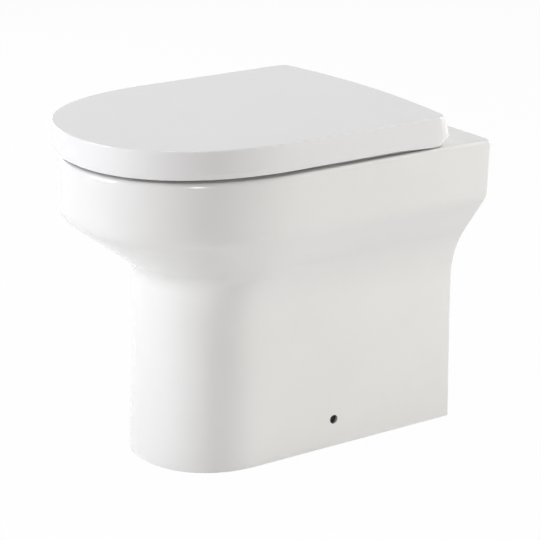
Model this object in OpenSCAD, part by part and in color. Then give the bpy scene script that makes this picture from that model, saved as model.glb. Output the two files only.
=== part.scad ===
// Back to wall toilet with a wrap over, soft close seat and lid.
// The bowl's front faces -Y and the wall side faces +Y.
// The origin is on the floor, in the middle of the space that the toilet fills.
// Lengths called setbacks and reaches are measured forward from the wall.

/* [Pan] */
// Height of the rim above the floor
rim_height = 400; // [380:1:460]
// Width of the pan across the rim
rim_width = 350; // [340:1:390]
// Distance from the wall to the front of the rim
rim_reach = 505.5; // [490:0.5:560]
// How much narrower the rim band is on each side at its lower edge
band_taper = 4; // [0:0.5:8]
// How far the band's lower edge stands past the rim at the front
front_swell = 4; // [0:0.5:6]
// Height of the lower edge of the band at the sides
side_turn_height = 324; // [300:1:345]
// Height where the flare leaves the straight sides
side_cove_height = 234.5; // [200:0.5:260]
// Height of the lower edge of the band at the front
front_turn_height = 326.5; // [310:0.5:340]
// Height where the flare leaves the straight front
front_cove_height = 251.5; // [220:0.5:262]
// Width of the pedestal at its waist
waist_width = 205.6; // [190:0.2:225]
// Width of the pedestal at the floor
foot_width = 209; // [195:1:235]
// Distance from the wall to the front of the waist
waist_reach = 412; // [380:1:430]
// Distance from the wall to the front of the foot
foot_reach = 421.5; // [385:0.5:440]
// Height of the waist
waist_height = 150; // [100:5:180]
// Rounding of the band's lower edge
turn_radius = 30; // [20:1:45]
// Rounding of the hollow above the sides of the pedestal
side_cove_radius = 125; // [40:5:150]
// Rounding of the hollow above the front of the pedestal
front_cove_radius = 32; // [15:1:36]
// Length of the rim's rounded nose as a share of its half width
rim_nose_ratio = 1.22; // [1:0.01:1.4]
// Length of the foot's rounded nose as a share of its half width
foot_nose_ratio = 1.04; // [1:0.01:1.4]
// Squareness of the pan's plan, 2 for an ellipse
pan_power = 2.15; // [2:0.05:3]
// Rounding of the upright back edges
back_edge_radius = 4; // [2:0.5:8]
// Rounding of the rim's outer top edge
rim_edge_radius = 5; // [3:0.5:12]
// Thickness of the ceramic walls
pan_wall = 10; // [8:0.5:12]
// Thickness of the front wall where it flares
flare_wall = 15; // [12:0.5:18]
// Thickness of the deck behind the bowl
deck_thickness = 14; // [12:0.5:18]
// Height of the opening in the back of the pedestal
back_opening_height = 290; // [270:1:300]

/* [Bowl] */
// Distance from the wall to the back of the bowl's mouth
mouth_back = 150; // [148:1:160]
// Width of the rim in front of the mouth
rim_front_width = 56; // [54:1:70]
// Width of the rim beside the mouth
rim_side_width = 42.5; // [41:0.5:50]
// Thickness of the lip that hangs under the rim
lip_thickness = 9; // [7:0.5:10]
// Height of the lip below the top of the rim
lip_drop = 48; // [40:1:54]
// Rounding of the lip's lower edge
lip_edge = 3; // [2:0.5:4]
// Width of the flushing channel behind the lip
channel_width = 16; // [12:0.5:18]
// Rounding of the rim's inner edge
mouth_edge_radius = 6; // [3:0.5:7]
// Height of the inside floor of the sump
sump_floor = 92; // [88:1:96]
// Height of the rounding around the sump's floor
sump_edge = 12; // [8:1:16]
// Height where the bowl starts to widen
sump_top = 200; // [190:1:210]
// Distance from the wall to the back of the sump
sump_back = 246; // [240:1:252]
// Distance from the wall to the front of the sump
sump_front = 328; // [316:1:336]
// Width of the sump
sump_width = 104; // [94:1:110]
// Thickness of the bowl's shell
bowl_wall = 9; // [8:0.5:10]

/* [Waterways] */
// Height of the centre of the outlet
outlet_height = 185; // [180:1:190]
// Outside radius of the outlet spigot
outlet_radius = 51; // [50:0.5:55]
// Distance from the wall to the end of the outlet spigot
outlet_setback = 12; // [5:1:15]
// Length of the outlet spigot
outlet_length = 26; // [22:1:27]
// Radius of the waterway in the trap
trap_radius = 41; // [38:0.5:42]
// Centre line radius of the trap's bends
trap_bend = 52; // [51:0.5:54]
// Wall between the sump and the rising leg of the trap
dip_wall = 14; // [12:0.5:16]
// Height of the water in the bowl
water_level = 223; // [218:1:226]
// Height of the centre line where the trap leaves the sump
trap_mouth_height = 134; // [132:1:136]
// Height of the centre of the flush pipe inlet
inlet_height = 340; // [336:1:344]
// Radius of the flush pipe inlet
inlet_radius = 27.5; // [25:0.5:28]
// Length of the inlet's bore
inlet_length = 20; // [15:1:24]
// Inside width of the flush box behind the bowl
flush_box_width = 100; // [80:1:104]
// Distance from the wall to the front of the flush box
flush_box_front = 100; // [90:1:102]
// Wall between the flush box's floor and the inlet's bore
flush_floor_gap = 0.5; // [0.5:0.5:2]
// Width of the passage from the flush box to the channel
passage_width = 68; // [50:1:76]
// Height of the passage from the flush box to the channel
passage_height = 22; // [14:1:24]

/* [Side fixings] */
// Height of the side fixing holes
side_hole_height = 37.5; // [30:0.5:45]
// Distance from the wall to the side fixing holes
side_hole_setback = 192; // [170:1:220]
// Radius of the side fixing holes
side_hole_radius = 6; // [4:0.25:7]
// Length of the floor brackets along the side of the pan
bracket_length = 44; // [36:1:60]
// Width of the floor brackets on the floor
bracket_width = 36; // [30:1:44]
// Height of the floor brackets
bracket_height = 62; // [54:1:75]
// Thickness of the floor brackets
bracket_thickness = 5; // [4:0.5:7]
// Distance from a bracket's upright to its floor screw
floor_hole_inset = 20; // [16:0.5:24]
// Radius of the floor screw holes
floor_hole_radius = 4; // [3:0.25:5]
// Radius of the screw holes in the brackets' upright
bracket_screw_radius = 3; // [2:0.25:3.5]
// Gap between a floor bracket and the pan's wall
bracket_gap = 0.3; // [0.1:0.1:0.6]

/* [Seat and lid] */
// Distance from the wall to the hinge's axis
hinge_setback = 72.5; // [71:0.5:74]
// Height of the lid's top above the hinge's axis
hinge_drop = 17; // [16.5:0.1:18]
// How far the seat opens, in degrees
seat_swing = 95; // [90:1:95]
// How far the lid opens from the seat, in degrees
lid_swing = 93; // [90:1:93]
// Gap between the open lid and the deck
deck_clearance = 0.45; // [0.4:0.05:2]
// Gap between the rim and the lid's skirt
skirt_gap = 5.25; // [4:0.25:7]
// How far the lid stands past each side of the rim
lid_side_overhang = 0.5; // [0:0.5:5]
// How far the lid stands past the front of the rim
lid_overhang = 4; // [0:0.5:8]
// How far the lid's top edge stands in front of its tail
tail_slope = 12; // [6:0.5:13]
// How far the middle of the lid's top edge stands behind its rear corners
top_bow = 10.5; // [0:0.5:11]
// How far the middle of the lid's tail stands behind its rear corners
tail_bow = 7.5; // [0:0.5:8]
// Height of the lid's tail above the lower edge of the skirt
tail_height = 7.5; // [5:0.5:9]
// How much the skirt draws in at its lower edge
skirt_draw = 1.5; // [0:0.25:3]
// Thickness of the lid
lid_wall = 4; // [3.5:0.1:4.2]
// Height of the rear wall left over the slots for the hinge arms
slot_lintel = 1; // [0.5:0.5:2]
// Rounding of the lid's top edge
lid_edge_radius = 3.5; // [2:0.5:4]
// Rounding of the lid's rear corners
lid_corner_radius = 23; // [18:1:34]
// Squareness of the lid's plan, 2 for an ellipse
lid_power = 2.2; // [2:0.01:2.4]
// Length of the lid's rounded nose as a share of its half width
lid_nose_ratio = 1.19; // [1:0.01:1.4]
// Gap between the seat and the lid's skirt
seat_clearance = 3; // [2:0.5:6]
// Thickness of the seat
seat_thickness = 22; // [18:0.5:23]
// Height of the gap under the seat
seat_gap = 6; // [5.5:0.25:7]
// Rounding of the seat's outer top edge
seat_edge_radius = 8; // [4:0.5:10]
// Rounding of the seat's inner top edge
seat_inner_radius = 11; // [6:0.5:14]
// Rounding of the seat's rear corners
seat_corner_radius = 12; // [6:1:20]
// Rounding of the seat's lower edge
seat_foot_radius = 2; // [1:0.5:4]
// Distance from the wall to the back of the seat's opening
seat_opening_back = 163; // [160:1:175]
// Width of the seat in front of its opening
seat_front_width = 60; // [50:1:75]
// Width of the seat's opening
seat_opening_width = 226; // [200:1:240]

/* [Hinge] */
// Distance between the two fixing studs
stud_spacing = 155; // [150:1:160]
// How far the studs stand in front of the hinge's axis
stud_forward = 37; // [36:0.5:38]
// Width of a hinge arm
arm_width = 19; // [17:0.5:21]
// Length of a hinge arm's post
post_length = 20; // [17:0.5:20]
// Radius of a hinge arm's foot
foot_radius = 18; // [15:0.5:18]
// Thickness of a hinge arm's foot
foot_thickness = 3.2; // [2:0.1:3.2]
// Thickness of the pads under the hinge arms
pad_thickness = 1.5; // [1:0.1:1.6]
// Radius of a hinge arm's eye
eye_radius = 9; // [8:0.25:9]
// Height of a hinge arm's top above the axis
arm_top_height = 6; // [5:0.25:7]
// Depth of a hinge arm's underside below the axis
arm_bottom_depth = 8; // [6:0.25:8]
// Radius of the hinge pins
pin_radius = 3.25; // [2.5:0.25:3.75]
// Running gap around the hinge pins
pin_clearance = 0.05; // [0.02:0.01:0.1]
// Radius of the dampers and the hinge bushes
damper_radius = 5.5; // [5:0.25:6]
// Length of the dampers
damper_length = 22; // [18:1:23]
// Length of the hinge bushes
bush_length = 18; // [12:1:18]
// Radius of the barrels that hold the dampers and bushes
barrel_radius = 7.5; // [7:0.25:7.5]
// Gap at each side of a hinge arm
arm_side_gap = 1; // [0.5:0.1:2]
// Depth of the hinge bar's plate below the axis
plate_bottom_depth = 7.25; // [6:0.25:8]
// Thickness of the hinge bar's plate
plate_thickness = 6; // [4:0.5:7]
// Length of the hinge bar's tongue inside the seat
tongue_length = 20; // [12:1:24]
// How much narrower the tongue is at each end than its bar
tongue_inset = 6; // [2:1:12]
// Fit between the hinge bar's tongue and the seat
tongue_fit = 0.1; // [0.05:0.05:0.3]
// Gap kept around the lid's swinging tail
swing_gap = 1.8; // [1:0.1:3]
// Thickness of the lid brackets' flanges
flange_thickness = 3; // [2:0.5:3.5]
// Length of the lid brackets' flanges
flange_length = 32; // [24:1:42]
// How far the flanges reach behind the hinge's axis
flange_back = 2; // [1:0.25:2]

/* [Seat fixings] */
// Radius of the fixing studs
stud_radius = 4; // [3:0.25:4]
// Radius of the stud holes in the deck
deck_hole_radius = 8; // [7:0.5:9]
// Radius of a stud's head
stud_head_radius = 6.5; // [5:0.25:7]
// Thickness of a stud's head
stud_head_height = 4; // [3:0.5:4.5]
// Depth of a stud's head below the top of its arm
head_sink_depth = 0.5; // [0.2:0.1:1]
// Length of a fixing stud under its head
stud_length = 76; // [70:1:90]
// Gap between a fixing and the hole that it passes
fixing_gap = 0.3; // [0.2:0.05:0.5]
// Radius of the rubber bushes under the deck
rubber_radius = 13; // [11:0.5:13.5]
// Height of the rubber bushes under the deck
rubber_height = 8; // [6:0.5:12]
// Height of a rubber bush's collar in the deck's hole
bush_collar = 8.4; // [6:0.2:10]
// Radius of the washers
washer_radius = 11; // [9:0.5:12]
// Thickness of the washers
washer_thickness = 1.5; // [1:0.25:2]
// Radius of a wing nut's hub
nut_radius = 7.5; // [6:0.5:9]
// Height of a wing nut's hub
nut_height = 10; // [8:0.5:14]
// Distance from a wing nut's axis to the tips of its wings
wing_reach = 16; // [12:0.5:17]
// Height of a wing nut's wings
wing_height = 7; // [5:0.5:8]
// Thickness of a wing nut's wings
wing_thickness = 3; // [2:0.25:4]

/* [Buffers] */
// Radius of the seat's buffers
seat_buffer_radius = 7; // [5:0.5:8]
// Radius of the lid's buffers
lid_buffer_radius = 6; // [4:0.5:8]
// Radius of the buffers' stems
buffer_stem_radius = 2.5; // [2:0.25:3.5]
// Length of the buffers' stems
buffer_stem_length = 6; // [3:0.5:8]
// Gap under a buffer when the seat and the lid are down
buffer_gap = 0.3; // [0.3:0.05:0.5]
// Distance from the middle line to the front buffers
front_buffer_offset = 62; // [50:1:75]
// Distance from the front of the rim to the front buffers
front_buffer_inset = 34; // [32:1:40]
// Distance from the sides of the rim to the rear buffers
rear_buffer_inset = 27; // [26:0.5:32]
// How far the lid's rear buffers stand inside the seat's
lid_buffer_inset = 8; // [4:1:12]
// Distance from the wall to the rear buffers
rear_buffer_setback = 232; // [215:1:255]

/* [Hidden] */

left = -1;
right = 1;
ceramic = [0.95, 0.95, 0.94];
moulding = [0.93, 0.93, 0.94];
steel = [0.72, 0.73, 0.75];
soft_rubber = [0.82, 0.82, 0.82];
black_rubber = [0.16, 0.16, 0.17];
grey_plastic = [0.55, 0.56, 0.58];
black_nylon = [0.1, 0.1, 0.11];

nose_steps = 28;
back_steps = 8;
bowl_steps = 7;
oval_steps = 32;
arc_steps = 6;
hollow_step = 20;
hollow_nose_steps = 18;
tube_sides = 16;
round_fn = 64;
trap_start = 25;                           // where the trap begins, in front of the sump's back
outlet_relief = 0.5;                       // how much wider the spigot's mouth is than the trap
sleeve_inner = (outlet_radius + trap_radius) / 2;
cut = 1;                                   // how far a cutter runs past the face it opens

hinge_over = seat_swing + lid_swing - 180; // how far the fully folded lid leans past level
hinge_height = rim_height + hinge_drop * cos(hinge_over) + hinge_setback * sin(hinge_over) + deck_clearance;
lid_top = hinge_height + hinge_drop;
lid_inner_top = lid_top - lid_wall;
lid_bottom = rim_height + skirt_gap;
lid_width = rim_width + 2 * lid_side_overhang;
lid_reach = rim_reach + lid_overhang;
overall_depth = max(rim_reach + front_swell, lid_reach);
tail_radius = hinge_height - rim_height - 2 * deck_clearance; // the lid's tail is an arc about the axis
tail_z = lid_bottom + tail_height;
seat_bottom = rim_height + seat_gap;
seat_top = seat_bottom + seat_thickness;
seat_half = lid_width / 2 - lid_wall - seat_clearance;
seat_reach = lid_reach - lid_wall - seat_clearance;
seat_back = hinge_setback + tail_radius + swing_gap; // the seat starts in front of the tail's sweep
stud_setback = hinge_setback + stud_forward;
stud_x = stud_spacing / 2;
arm_inner = stud_x - arm_width / 2;
arm_outer = stud_x + arm_width / 2;
bar_half = arm_inner - arm_side_gap;
knuckle_start = arm_outer + arm_side_gap;
slot_front = stud_setback + post_length / 2 + swing_gap;
damper_bore_end = 2;                       // closed end of a damper beyond its pin
pin_inner = bar_half - damper_length + damper_bore_end;
pin_outer = knuckle_start + damper_length - damper_bore_end;
barrel_end_wall = 4;
channel_top = rim_height - deck_thickness;
channel_front = rim_reach - rim_front_width + lip_thickness + channel_width;
channel_back = mouth_back - lip_thickness - channel_width;
channel_half = rim_width / 2 - rim_side_width + lip_thickness + channel_width;
head_seat = hinge_height + arm_top_height - stud_head_height - head_sink_depth;
tongue_half = bar_half - tongue_inset;

// ---------- curves and lofts ----------

function unit(v) = v / norm(v);

// Points of the arc that rounds the corner b between a and c
function corner_arc(a, b, c, radius, steps) =
    let (to_a = unit(a - b), to_c = unit(c - b))
    let (half = acos(to_a * to_c) / 2, centre = b + unit(to_a + to_c) * radius / sin(half))
    let (start = b + to_a * radius / tan(half) - centre, end = b + to_c * radius / tan(half) - centre)
    let (sweep = 180 - 2 * half)
    [for (i = [0:steps])
        centre + (start * sin(sweep * (1 - i / steps)) + end * sin(sweep * i / steps)) / sin(sweep)];

// Points of a circular arc between two angles
function arc(centre, radius, from, to, steps) =
    [for (i = [0:steps]) let (turn = mix(from, to, i / steps)) centre + radius * [cos(turn), sin(turn)]];

function mix(a, b, t) = a + (b - a) * t;

function clamp01(t) = min(max(t, 0), 1);

// Heights and sizes of a profile with two rounded corners, as pairs for lookup()
function flared_profile(foot, waist, cove_z, turn_z, band, top, cove_r) =
    concat(
        [[0, foot], [waist_height, waist]],
        corner_arc([waist_height, waist], [cove_z, waist], [turn_z, band], cove_r, arc_steps),
        corner_arc([cove_z, waist], [turn_z, band], [rim_height, top], turn_radius, arc_steps),
        [[rim_height, top]]);

side_profile = flared_profile(foot_width / 2, waist_width / 2, side_cove_height, side_turn_height,
    rim_width / 2 - band_taper, rim_width / 2, side_cove_radius);
front_profile = flared_profile(foot_reach, waist_reach, front_cove_height, front_turn_height,
    rim_reach + front_swell, rim_reach, front_cove_radius);

function side_at(z) = lookup(z, side_profile);
function front_at(z) = lookup(z, front_profile);
function nose_at(z) =
    let (spread = clamp01((2 * side_at(z) - waist_width) / (rim_width - waist_width)))
    side_at(z) * mix(foot_nose_ratio, rim_nose_ratio, spread);

function curve(value, power) = sign(value) * pow(abs(value), 2 / power);

// One level of a D plan: rounded corners at the back, straight sides and a superellipse nose.
// With a bow, the back edge is an arc whose middle stands behind its ends.
function d_ring(half, reach, back, nose, power, corner, z, steps = nose_steps, bow = 0) =
    let (bent = [for (i = [0:3]) let (x = half - corner + corner * sin(30 * i))
            [x, -(back + corner - corner * cos(30 * i) + bow * pow(x / half, 2))]])
    let (flat = half - corner)
    let (places = bow > 0 ? [for (i = [1:back_steps - 1]) mix(-flat, flat, i / back_steps)] : [])
    concat(
        [for (p = bent) [p[0], p[1], z]],
        [for (i = [0:steps]) [half * curve(cos(180 * i / steps), power),
            -(reach - nose + nose * curve(sin(180 * i / steps), power)), z]],
        [for (i = [3:-1:0]) [-bent[i][0], bent[i][1], z]],
        [for (x = places) [x, -(back + bow * pow(x / half, 2)), z]]);

// One level of an oval that runs from back to reach
function oval_ring(half, reach, back, z) =
    [for (i = [0:oval_steps - 1]) [half * cos(360 * i / oval_steps),
        -((reach + back) / 2 + (reach - back) / 2 * sin(360 * i / oval_steps)), z]];

// Solid skin over rings that all have the same number of points; the rings turn clockwise seen from above
module loft(rings) {
    n = len(rings[0]);
    last = (len(rings) - 1) * n;
    sides = [for (i = [0:len(rings) - 2], j = [0:n - 1])
        let (a = i * n + j, b = i * n + (j + 1) % n)
        each [[a, b, b + n], [a, b + n, a + n]]];
    polyhedron([for (ring = rings) each ring],
        concat([[for (j = [n - 1:-1:0]) j]], sides, [[for (j = [0:n - 1]) last + j]]));
}

// Moves what is drawn with the wall at y = 0 into the part's frame
module from_wall() {
    translate([0, overall_depth / 2, 0]) children();
}

// Cylinder along X between two places
module x_rod(x1, x2, radius) {
    translate([min(x1, x2), 0, 0]) rotate([0, 90, 0])
        cylinder(h = abs(x2 - x1), r = radius, $fn = round_fn);
}

// Cutter for a hole that a fixing stud passes
module stud_passage(height) {
    cylinder(h = height, r = stud_radius + fixing_gap, $fn = round_fn);
}

// Places children on the hinge's axis
module at_hinge() {
    from_wall() translate([0, -hinge_setback, hinge_height]) children();
}

// Box given by its two far corners, with y measured forward from the wall
module wall_box(x1, x2, near, far, z1, z2) {
    translate([x1, -far, z1]) cube([x2 - x1, far - near, z2 - z1]);
}

// ---------- pan ----------

function pan_ring(z, inset = 0) =
    d_ring(side_at(z) - inset, front_at(z) - inset, inset / 2, nose_at(z) - inset,
        pan_power, back_edge_radius, z);

// The flare lies between these heights, and its rings are a step apart
flare_low = waist_height + 35;
flare_high = side_turn_height + 20;
flare_step = 9;

module pan_outside() {
    edge = [for (i = [0:4]) let (turn = 22.5 * i)
        pan_ring(rim_height - rim_edge_radius * (1 - sin(turn)), rim_edge_radius * (1 - cos(turn)))];
    levels = concat([0, waist_height], [for (z = [flare_low:flare_step:flare_high]) z]);
    loft(concat([for (z = levels) pan_ring(z)], edge));
}

// The hollow of the pedestal, open to the floor and, below the back wall, to the room's wall
module pan_hollow() {
    function ring(z, back) = d_ring(side_at(z) - pan_wall,
        front_at(z) - (z > flare_low + 2 * hollow_step ? flare_wall : pan_wall), back,
        nose_at(z) - pan_wall, pan_power, back_edge_radius, z, hollow_nose_steps);
    low = concat([-cut, waist_height], [for (z = [flare_low + 10:hollow_step:back_opening_height - 10]) z]);
    high = concat([for (z = [back_opening_height + hollow_step:hollow_step:flare_high]) z], [channel_top]);
    loft(concat(
        [for (z = low) ring(max(z, 0) + min(z, 0), -cut)],
        [ring(back_opening_height, -cut), ring(back_opening_height + 0.01, pan_wall)],
        [for (z = high) ring(z, pan_wall)]));
}

// Size of the bowl at a height: 0 at the sump and 1 at the channel
function opening(z, power) = pow(sin(90 * clamp01((z - sump_top) / (channel_top - sump_top))), power);

function bowl_ring(z, grow = 0) =
    oval_ring(mix(sump_width / 2, channel_half, opening(z, 1.5)) + grow,
        mix(sump_front, channel_front, opening(z, 1.5)) + grow,
        mix(sump_back, channel_back, opening(z, 3.5)) - grow, z);

function shrunk_floor(grow) = oval_ring(sump_width / 4 + grow, sump_front - sump_width / 4 + grow,
    sump_back + sump_width / 4 - grow, sump_floor - grow);

bowl_levels = concat([sump_floor + sump_edge],
    [for (i = [0:bowl_steps - 1]) mix(sump_top, channel_top, i / bowl_steps)]);

// The water space of the bowl with the channel under the rim and the mouth
module bowl_inside() {
    lip_bottom = rim_height - lip_drop;
    function rim_ring(out, z) = oval_ring(channel_half - out, channel_front - out, channel_back + out, z);
    lip = channel_width + lip_thickness;
    mouth = [for (i = [0:3]) rim_ring(lip - mouth_edge_radius * (1 - cos(30 * i)),
        rim_height - mouth_edge_radius * (1 - sin(30 * i)))];
    loft(concat(
        [shrunk_floor(0)],
        [for (z = bowl_levels) bowl_ring(z)],
        [rim_ring(0, channel_top), rim_ring(channel_width, channel_top),
            rim_ring(channel_width, lip_bottom + lip_edge), rim_ring(channel_width + lip_edge, lip_bottom),
            rim_ring(lip - lip_edge, lip_bottom), rim_ring(lip, lip_bottom + lip_edge)],
        mouth,
        [rim_ring(lip - mouth_edge_radius, rim_height + cut)]));
}

module bowl_outside() {
    loft(concat([shrunk_floor(bowl_wall)], [for (z = bowl_levels) bowl_ring(z, bowl_wall)],
        [bowl_ring(channel_top + cut, bowl_wall)]));
}

// Centre line of the trap, as setbacks and heights, from the sump over the weir to the outlet
trap_path = let (
        crest = water_level + trap_radius,
        leg = sump_back - dip_wall - trap_radius,
        over = [leg - trap_bend, crest - trap_bend],
        rise = outlet_height + trap_bend - over[1],
        down = [over[0] - sqrt(pow(2 * trap_bend, 2) - rise * rise), outlet_height + trap_bend],
        lean = asin(rise / (2 * trap_bend)))
    concat(
        [[sump_back + trap_start, trap_mouth_height]],
        arc([leg + trap_bend, trap_mouth_height + trap_bend], trap_bend, 270, 180, 4),
        arc(over, trap_bend, 0, 180 - lean, 8),
        [for (i = [1:4]) down + trap_bend * [cos(mix(-lean, -90, i / 4)), sin(mix(-lean, -90, i / 4))]],
        [[outlet_setback + cut, outlet_height]]);

module trap_tube(radius) {
    n = len(trap_path);
    function heading(i) = unit(trap_path[min(i + 1, n - 1)] - trap_path[max(i - 1, 0)]);
    loft([for (i = [0:n - 1]) let (p = trap_path[i], h = heading(i))
        [for (k = [0:tube_sides - 1]) let (turn = 360 * k / tube_sides)
            [radius * cos(turn), -p[0] - radius * sin(turn) * h[1], p[1] - radius * sin(turn) * h[0]]]]);
}

module flush_block() {
    half = flush_box_width / 2 + pan_wall;
    wall_box(-half, half, pan_wall / 2, flush_box_front + pan_wall,
        inlet_height - inlet_radius - flush_floor_gap - pan_wall, channel_top + cut);
}

module flush_space() {
    floor_z = inlet_height - inlet_radius - flush_floor_gap;
    wall_box(-flush_box_width / 2, flush_box_width / 2, inlet_length, flush_box_front,
        floor_z, channel_top);
    wall_box(-passage_width / 2, passage_width / 2, flush_box_front - cut, channel_back + channel_width / 2,
        channel_top - passage_height, channel_top);
}

module pan() {
    side_hole = side_at(side_hole_height) + cut;
    color(ceramic) from_wall() difference() {
        union() {
            // the fired body, brought to its stated width and height
            resize([rim_width, 0, rim_height]) difference() {
                union() {
                    difference() {
                        pan_outside();
                        pan_hollow();
                    }
                    bowl_outside();
                    trap_tube(trap_radius + bowl_wall);
                    flush_block();
                }
                bowl_inside();
                trap_tube(trap_radius);
                flush_space();
            }
            translate([0, -outlet_setback, outlet_height]) rotate([90, 0, 0]) difference() {
                cylinder(h = outlet_length, r = outlet_radius, $fn = round_fn);
                translate([0, 0, -cut])
                    cylinder(h = outlet_length + 2 * cut, r = sleeve_inner, $fn = round_fn);
            }
        }
        translate([0, -outlet_setback + cut, outlet_height]) rotate([90, 0, 0])
            cylinder(h = outlet_length / 3, r = trap_radius + outlet_relief, $fn = round_fn);
        translate([0, cut, inlet_height]) rotate([90, 0, 0])
            cylinder(h = inlet_length + 2 * cut, r = inlet_radius, $fn = round_fn);
        for (side = [left, right]) {
            translate([side * stud_x, -stud_setback, channel_top - cut])
                cylinder(h = deck_thickness + 2 * cut, r = deck_hole_radius, $fn = round_fn);
            translate([0, -side_hole_setback, side_hole_height])
                x_rod(side * (side_hole - 2 * pan_wall), side * side_hole, side_hole_radius);
        }
    }
}

// ---------- lid ----------

// Room for the two hinge arms, from the wall to a place in front of it
module arm_slots(front, z1, z2) {
    half = arm_width / 2 + arm_side_gap;
    for (side = [left, right]) wall_box(side * stud_x - half, side * stud_x + half, 0, front, z1, z2);
}

// Distance from the wall to the lid's back face at a height
function lid_back(z) =
    z < tail_z ? hinge_setback - sqrt(pow(tail_radius, 2) - pow(hinge_height - z, 2))
        : lid_back_line(z);
function lid_back_line(z) =
    let (tail = hinge_setback - sqrt(pow(tail_radius, 2) - pow(hinge_height - tail_z, 2)))
    tail + tail_slope * (z - tail_z) / (lid_top - tail_z);

function lid_draw(z) = skirt_draw * clamp01((tail_z - z) / tail_height);

function lid_ring(z, inset, corner) =
    d_ring(lid_width / 2 - inset - lid_draw(z), lid_reach - inset - lid_draw(z), lid_back(z) + inset,
        lid_nose_ratio * lid_width / 2 - inset, lid_power, corner, z, nose_steps,
        mix(tail_bow, top_bow, clamp01((z - tail_z) / (lid_top - tail_z))));

module lid_shell() {
    skirt = [mix(lid_bottom, tail_z, 0.3), mix(lid_bottom, tail_z, 0.65), tail_z, (tail_z + lid_top) / 2];
    edge = [for (i = [0:3]) let (turn = 30 * i, inset = lid_edge_radius * (1 - cos(turn)))
        lid_ring(lid_top - lid_edge_radius * (1 - sin(turn)), inset, lid_corner_radius)];
    difference() {
        loft(concat([for (z = concat([lid_bottom], skirt)) lid_ring(z, 0, lid_corner_radius)], edge));
        loft([for (z = concat([lid_bottom - cut], skirt, [lid_inner_top]))
            lid_ring(z, lid_wall, lid_corner_radius - lid_wall)]);
    }
}

function buffer_places(setback_front, front_x, setback_rear, rear_x) =
    [[left * front_x, setback_front], [right * front_x, setback_front],
        [left * rear_x, setback_rear], [right * rear_x, setback_rear]];

seat_buffer_places = buffer_places(rim_reach - front_buffer_inset, front_buffer_offset,
    rear_buffer_setback, rim_width / 2 - rear_buffer_inset);
lid_buffer_places = buffer_places(rim_reach - front_buffer_inset, front_buffer_offset,
    rear_buffer_setback, rim_width / 2 - rear_buffer_inset - lid_buffer_inset);

module lid() {
    color(moulding) from_wall() difference() {
        lid_shell();
        arm_slots(hinge_setback, lid_bottom - cut, lid_inner_top - slot_lintel);
    }
}

// ---------- seat ----------

module seat_blank() {
    function ring(z, inset) = d_ring(seat_half - inset, seat_reach - inset, seat_back + inset,
        lid_nose_ratio * seat_half - inset, lid_power, seat_corner_radius, z);
    function hole(z, grow) = oval_ring(seat_opening_width / 2 + grow, seat_reach - seat_front_width + grow,
        seat_opening_back - grow, z);
    edge = [for (i = [0:4]) let (turn = 22.5 * i)
        ring(seat_top - seat_edge_radius * (1 - sin(turn)), seat_edge_radius * (1 - cos(turn)))];
    inner = [for (i = [0:4]) let (turn = 22.5 * i)
        hole(seat_top - seat_inner_radius * (1 - sin(turn)), seat_inner_radius * (1 - cos(turn)))];
    difference() {
        loft(concat([ring(seat_bottom, seat_foot_radius), ring(seat_bottom + seat_foot_radius, 0)], edge));
        loft(concat([hole(seat_bottom - cut, 0)], inner, [hole(seat_top + cut, seat_inner_radius)]));
    }
}

module seat() {
    color(moulding) from_wall() difference() {
        seat_blank();
        arm_slots(slot_front, seat_bottom - cut, seat_top + cut);
        wall_box(-tongue_half - tongue_fit, tongue_half + tongue_fit,
            0, seat_back + tongue_length + tongue_fit,
            hinge_height - plate_bottom_depth - tongue_fit,
            hinge_height - plate_bottom_depth + plate_thickness + tongue_fit);
        for (place = seat_buffer_places)
            translate([place[0], -place[1], seat_bottom - cut])
                cylinder(h = buffer_stem_length + cut, r = buffer_stem_radius, $fn = round_fn);
    }
}

// ---------- hinge ----------

module hinge_arm(side) {
    color(steel) from_wall() difference() {
        union() {
            translate([0, -hinge_setback, hinge_height])
                x_rod(side * arm_inner, side * arm_outer, eye_radius);
            translate([side * stud_x - arm_width / 2, 0, 0])
                wall_box(0, arm_width, hinge_setback, stud_setback + post_length / 2,
                    hinge_height - arm_bottom_depth, hinge_height + arm_top_height);
            translate([side * stud_x - arm_width / 2, 0, 0])
                wall_box(0, arm_width, stud_setback - post_length / 2, stud_setback + post_length / 2,
                    rim_height + pad_thickness, hinge_height);
            translate([side * stud_x, -stud_setback, rim_height + pad_thickness])
                cylinder(h = foot_thickness, r = foot_radius, $fn = round_fn);
        }
        translate([0, -hinge_setback, hinge_height])
            x_rod(side * (arm_inner - cut), side * (arm_outer + cut), pin_radius);
        translate([side * stud_x, -stud_setback, rim_height]) stud_passage(lid_top - rim_height);
        translate([side * stud_x, -stud_setback, head_seat])
            cylinder(h = lid_top - head_seat, r = stud_head_radius + fixing_gap, $fn = round_fn);
    }
}

module hinge_arm_left() { hinge_arm(left); }
module hinge_arm_right() { hinge_arm(right); }

module arm_pad(side) {
    color(black_rubber) from_wall() translate([side * stud_x, -stud_setback, rim_height]) difference() {
        cylinder(h = pad_thickness, r = foot_radius, $fn = round_fn);
        translate([0, 0, -cut]) stud_passage(pad_thickness + 2 * cut);
    }
}

module arm_pad_left() { arm_pad(left); }
module arm_pad_right() { arm_pad(right); }

module hinge_pin(side) {
    color(steel) at_hinge() x_rod(side * pin_inner, side * pin_outer, pin_radius);
}

module hinge_pin_left() { hinge_pin(left); }
module hinge_pin_right() { hinge_pin(right); }

// Bar that carries the seat: a barrel on the axis with a tongue let into the seat's back edge
module seat_hinge_bar() {
    color(grey_plastic) at_hinge() difference() {
        union() {
            x_rod(-bar_half, bar_half, barrel_radius);
            translate([-tongue_half, hinge_setback - seat_back - tongue_length, -plate_bottom_depth])
                cube([2 * tongue_half, seat_back + tongue_length - hinge_setback, plate_thickness]);
        }
        for (side = [left, right])
            x_rod(side * (bar_half + cut), side * (bar_half - damper_length), damper_radius);
    }
}

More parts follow.
